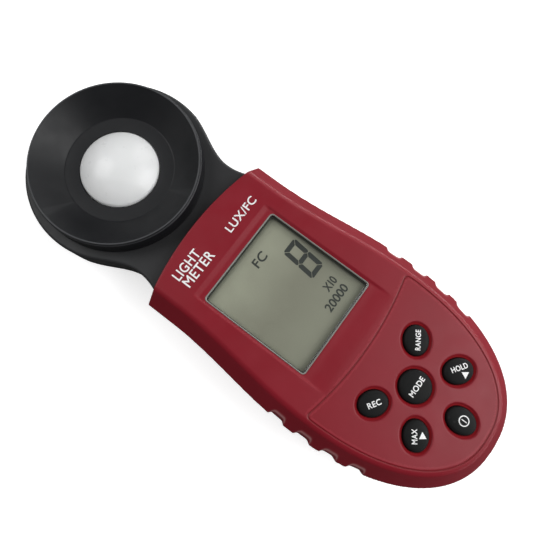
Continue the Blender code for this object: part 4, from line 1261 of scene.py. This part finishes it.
def polygons_shape(polygons):
    shape = bmesh.new()
    for polygon in polygons:
        shape.faces.new([shape.verts.new((x, y, 0)) for x, y in polygon])
    return shape


def key_surface(place, half):
    """The height of a key's cap above a point."""
    turn = key_turn(place)
    cos, sin = math.cos(turn), math.sin(turn)

    def height(x, y):
        dx, dy = x - place[0], y - place[1]
        share = math.hypot((dx * cos + dy * sin) / half[0], (dy * cos - dx * sin) / half[1])
        return key_height(min(share, 1.0))

    return height


def ring_polygons(radius, width, segments=40):
    """A flat ring as quads."""
    around = circle(segments)
    polygons = []
    for a, b in zip(around, around[1:] + around[:1]):
        pairs = ((radius, a), (radius, b), (radius - width, b), (radius - width, a))
        polygons.append([(reach * cos, reach * sin) for reach, (cos, sin) in pairs])
    return polygons


# Key, word, place on the key, degrees turned, size
KEY_WORDS = (
    ("mode", "MODE", (0.1, -0.1), 0.0, (6.0, 1.6)),
    ("range", "RANGE", (0.15, -0.1), 32.0, (5.6, 1.5)),
    ("rec", "REC", (0.05, -0.05), -32.0, (3.85, 1.6)),
    ("hold", "HOLD", (0.73, 0.55), -34.6, (4.75, 1.5)),
    ("max", "MAX", (-0.45, 0.55), 34.6, (3.85, 1.5)),
)
ARROW_RADIUS = 1.2
POWER_BAR = [(-0.12, -0.8), (0.12, -0.8), (0.12, 0.8), (-0.12, 0.8)]
POWER_RING = (1.45, 0.28)


def make_key_legends():
    """White function words and signs printed on the keys."""

    def on_key(name, shift, degrees=0.0):
        place, half = KEYS[name]
        at = (place[0] + shift[0], place[1] + shift[1])
        surface = key_surface(place, half)
        return {"at": at, "turn": math.radians(degrees), "surface": surface, "ink": WHITE_INK}

    pieces = []
    for name, word, shift, degrees, size in KEY_WORDS:
        laid = on_key(name, shift, degrees)
        legend = lettering(f"legend_{name}", word, size=size, bold=KEY_BOLD, **laid)
        pieces.append((legend, f"key_{name}"))
    arrow = [[(ARROW_RADIUS * cos, ARROW_RADIUS * sin) for cos, sin in circle(3)]]
    power = ring_polygons(*POWER_RING) + [POWER_BAR]
    for name, polygons, shift, degrees in (
        ("hold", arrow, (0.2, -1.65), -143.0),
        ("max", arrow, (0.85, -1.2), 37.0),
        ("power", power, (0.25, -0.2), 0.0),
    ):
        sign = laid_on(f"sign_{name}", polygons_shape(polygons), **on_key(name, shift, degrees))
        pieces.append((sign, f"key_{name}"))
    return pieces


def make_face_text():
    """The generic name and units printed beside the display."""
    style = {"bold": FACE_BOLD, "ink": WHITE_INK, "surface": lambda x, y: FACE_Z}
    return [
        lettering("face_text_light", "LIGHT", (-11.0, 17.4), (9.8, 2.95), **style),
        lettering("face_text_meter", "METER", (-9.8, 14.0), (11.6, 2.95), **style),
        lettering("face_text_units", "LUX/FC", (9.9, 14.3), (12.2, 2.55), **style),
    ]


def digit_polygons(width, height, thick, slant):
    """The seven bars of a lit figure eight: mitred, with cut corners and a pointed middle bar."""
    gap, cut, notch = 0.11, 0.75, 0.35
    w, h, t = width / 2, height / 2, thick
    near, far = (cut - gap) / 2, (cut + gap) / 2
    right_end = [(w - cut, h), (w - far, h - near), (w - t - gap, h - t)]
    end = right_end + [(-x, y) for x, y in reversed(right_end)]
    side = [(w, h - cut), (w - near, h - far), (w - t, h - t - gap), (w - t, t / 2 + gap)]
    side += [(w - t / 2, gap), (w - notch, gap), (w, gap + notch)]
    tips = [(w - t - gap, t / 2), (w - t / 2 - gap, 0), (w - t - gap, -t / 2)]
    polygons = [tips + [(-x, -y) for x, y in tips]]
    for up in (1, -1):
        polygons.append([(x, y * up) for x, y in end])
        for right in (1, -1):
            polygons.append([(x * right, y * up) for x, y in side])
    return [[(x + slant * y, y) for x, y in polygon] for polygon in polygons]


def make_display_text():
    """What the display shows: a reading, its unit, multiplier and range."""
    laid = {"ink": SEGMENT_INK, "surface": lambda x, y: LCD_TOP_Z, "thick": LCD_INK_THICK}
    style = {"bold": LCD_BOLD, "slant": LCD_SLANT, **laid}
    digit = polygons_shape(digit_polygons(5.6, 11.4, 1.42, 0.1))
    return [
        laid_on("segments_digit", digit, (10.8, -7.5), **laid),
        lettering("segments_unit", "FC", (3.0, 2.3), (4.75, 2.9), **style),
        lettering("segments_factor", "X10", (9.45, -17.9), (4.5, 2.6), spacing=0.88, **style),
        lettering("segments_range", "20000", (7.3, -21.7), (9.0, 2.65), spacing=0.98, **style),
    ]


# ---- assembly


def show(piece, slot, *replaced, body=HOUSING):
    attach(piece, body)
    if replaced:
        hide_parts(*replaced)


def make_object():
    finish_cad_nodes()
    show(make_front_shell(), "red_plastic", "front_shell")
    show(make_rear_shell(), "red_plastic", "rear_shell")
    show(make_battery_cover(), "red_plastic", "battery_cover", body=COVER_BODY)
    show(make_head_plate(), "black_plastic", "head_plate")
    show(make_head_back(), "black_plastic", "head_back")
    show(make_hood(), "black_plastic", "sensor_hood")
    show(make_dome(), "opal_plastic", "diffuser_dome")
    pane = window_piece("display_window_pane", PANE_RINGS, WINDOW, close_ends=True)
    show(pane, "clear_window", "display_window")
    # A pale ring over the pane's edge paints the edge's highlight as a thin pale line
    show(window_piece("window_rim_painted_highlight", HIGHLIGHT_RIM_RINGS, HIGHLIGHT_RIM_PLASTIC, loop=True), "clear_window")
    # A dark ring under the pane's edge paints the shadow there as a dark line
    show(window_piece("window_painted_shadow_tape", SHADOW_TAPE_RINGS, SHADOW_TAPE, loop=True), "key_rubber")
    for name, (place, half) in KEYS.items():
        cap = make_key(name, place, half)
        show(cap, "key_rubber", f"button_{name}", body=f"key_{name}")
    for piece, body in make_key_legends():
        show(piece, "cream_nylon", body=body)
    for piece in make_face_text():
        show(piece, "cream_nylon")
    for piece in make_display_text():
        show(piece, "lcd_glass")


# ---- stage


def make_floor():
    """A plain pale floor, which looks nearly white but throws little light back."""
    look = Look(
        "pale_floor", Roughness=0.9, Specular_IOR_Level=0.0, Emission_Color=(1.0, 1.0, 1.0)
    )
    seen = look.add("LightPath", {}, "Is Camera Ray")
    grain = look.ramp(look.noise(40.0), (0.3, (0.86, 0.86, 0.86)), (0.7, (0.88, 0.88, 0.88)))
    look.feed(look.shader.inputs["Base Color"], look.mix(seen, (0.11, 0.11, 0.11), grain))
    look.feed(look.shader.inputs["Emission Strength"], look.maths("MULTIPLY", seen, 0.6))
    shape = bmesh.new()
    bmesh.ops.create_grid(shape, x_segments=1, y_segments=1, size=FLOOR_HALF)
    shape_object("floor", shape, look.material, smooth=False)


def make_lights():
    """Softboxes aimed at the meter, in a dim white world that the camera sees as pale."""
    for name, place, size, power in SOFTBOXES:
        lamp = bpy.data.lights.new(name, "AREA")
        lamp.shape = "RECTANGLE"
        lamp.size, lamp.size_y = size
        lamp.energy = power
        obj = new_object(name, lamp)
        obj.location = place
        aim = Vector(LIGHT_TARGET) - Vector(place)
        obj.rotation_euler = aim.to_track_quat("-Z", "Y").to_euler()
    world = bpy.data.worlds.new("studio")
    world.use_nodes = True
    nodes, links = world.node_tree.nodes, world.node_tree.links
    background = nodes["Background"]
    background.inputs["Color"].default_value = (1.0, 1.0, 1.0, 1.0)
    strength = nodes.new("ShaderNodeMapRange")
    strength.inputs["To Min"].default_value = WORLD_GLOW
    strength.inputs["To Max"].default_value = WORLD_GLOW_SEEN
    links.new(nodes.new("ShaderNodeLightPath").outputs["Is Camera Ray"], strength.inputs["Value"])
    links.new(strength.outputs["Result"], background.inputs["Strength"])
    bpy.context.scene.world = world
    bpy.context.scene.view_settings.view_transform = "Standard"


def make_camera():
    """Looks down on the meter, turned so that the head is at the upper left."""
    camera = bpy.data.cameras.new("camera")
    camera.lens = CAMERA_LENS
    camera.sensor_width = CAMERA_SENSOR
    camera.clip_start = 0.01
    obj = new_object("camera", camera)
    right, up = Vector(CAMERA_RIGHT), Vector(CAMERA_UP)
    back = right.cross(up).normalized()
    rotation = Matrix((right, up, back)).transposed().to_4x4()
    obj.matrix_world = Matrix.Translation(CAMERA_PLACE) @ rotation
    bpy.context.scene.camera = obj


make_object()
make_floor()
make_lights()
make_camera()
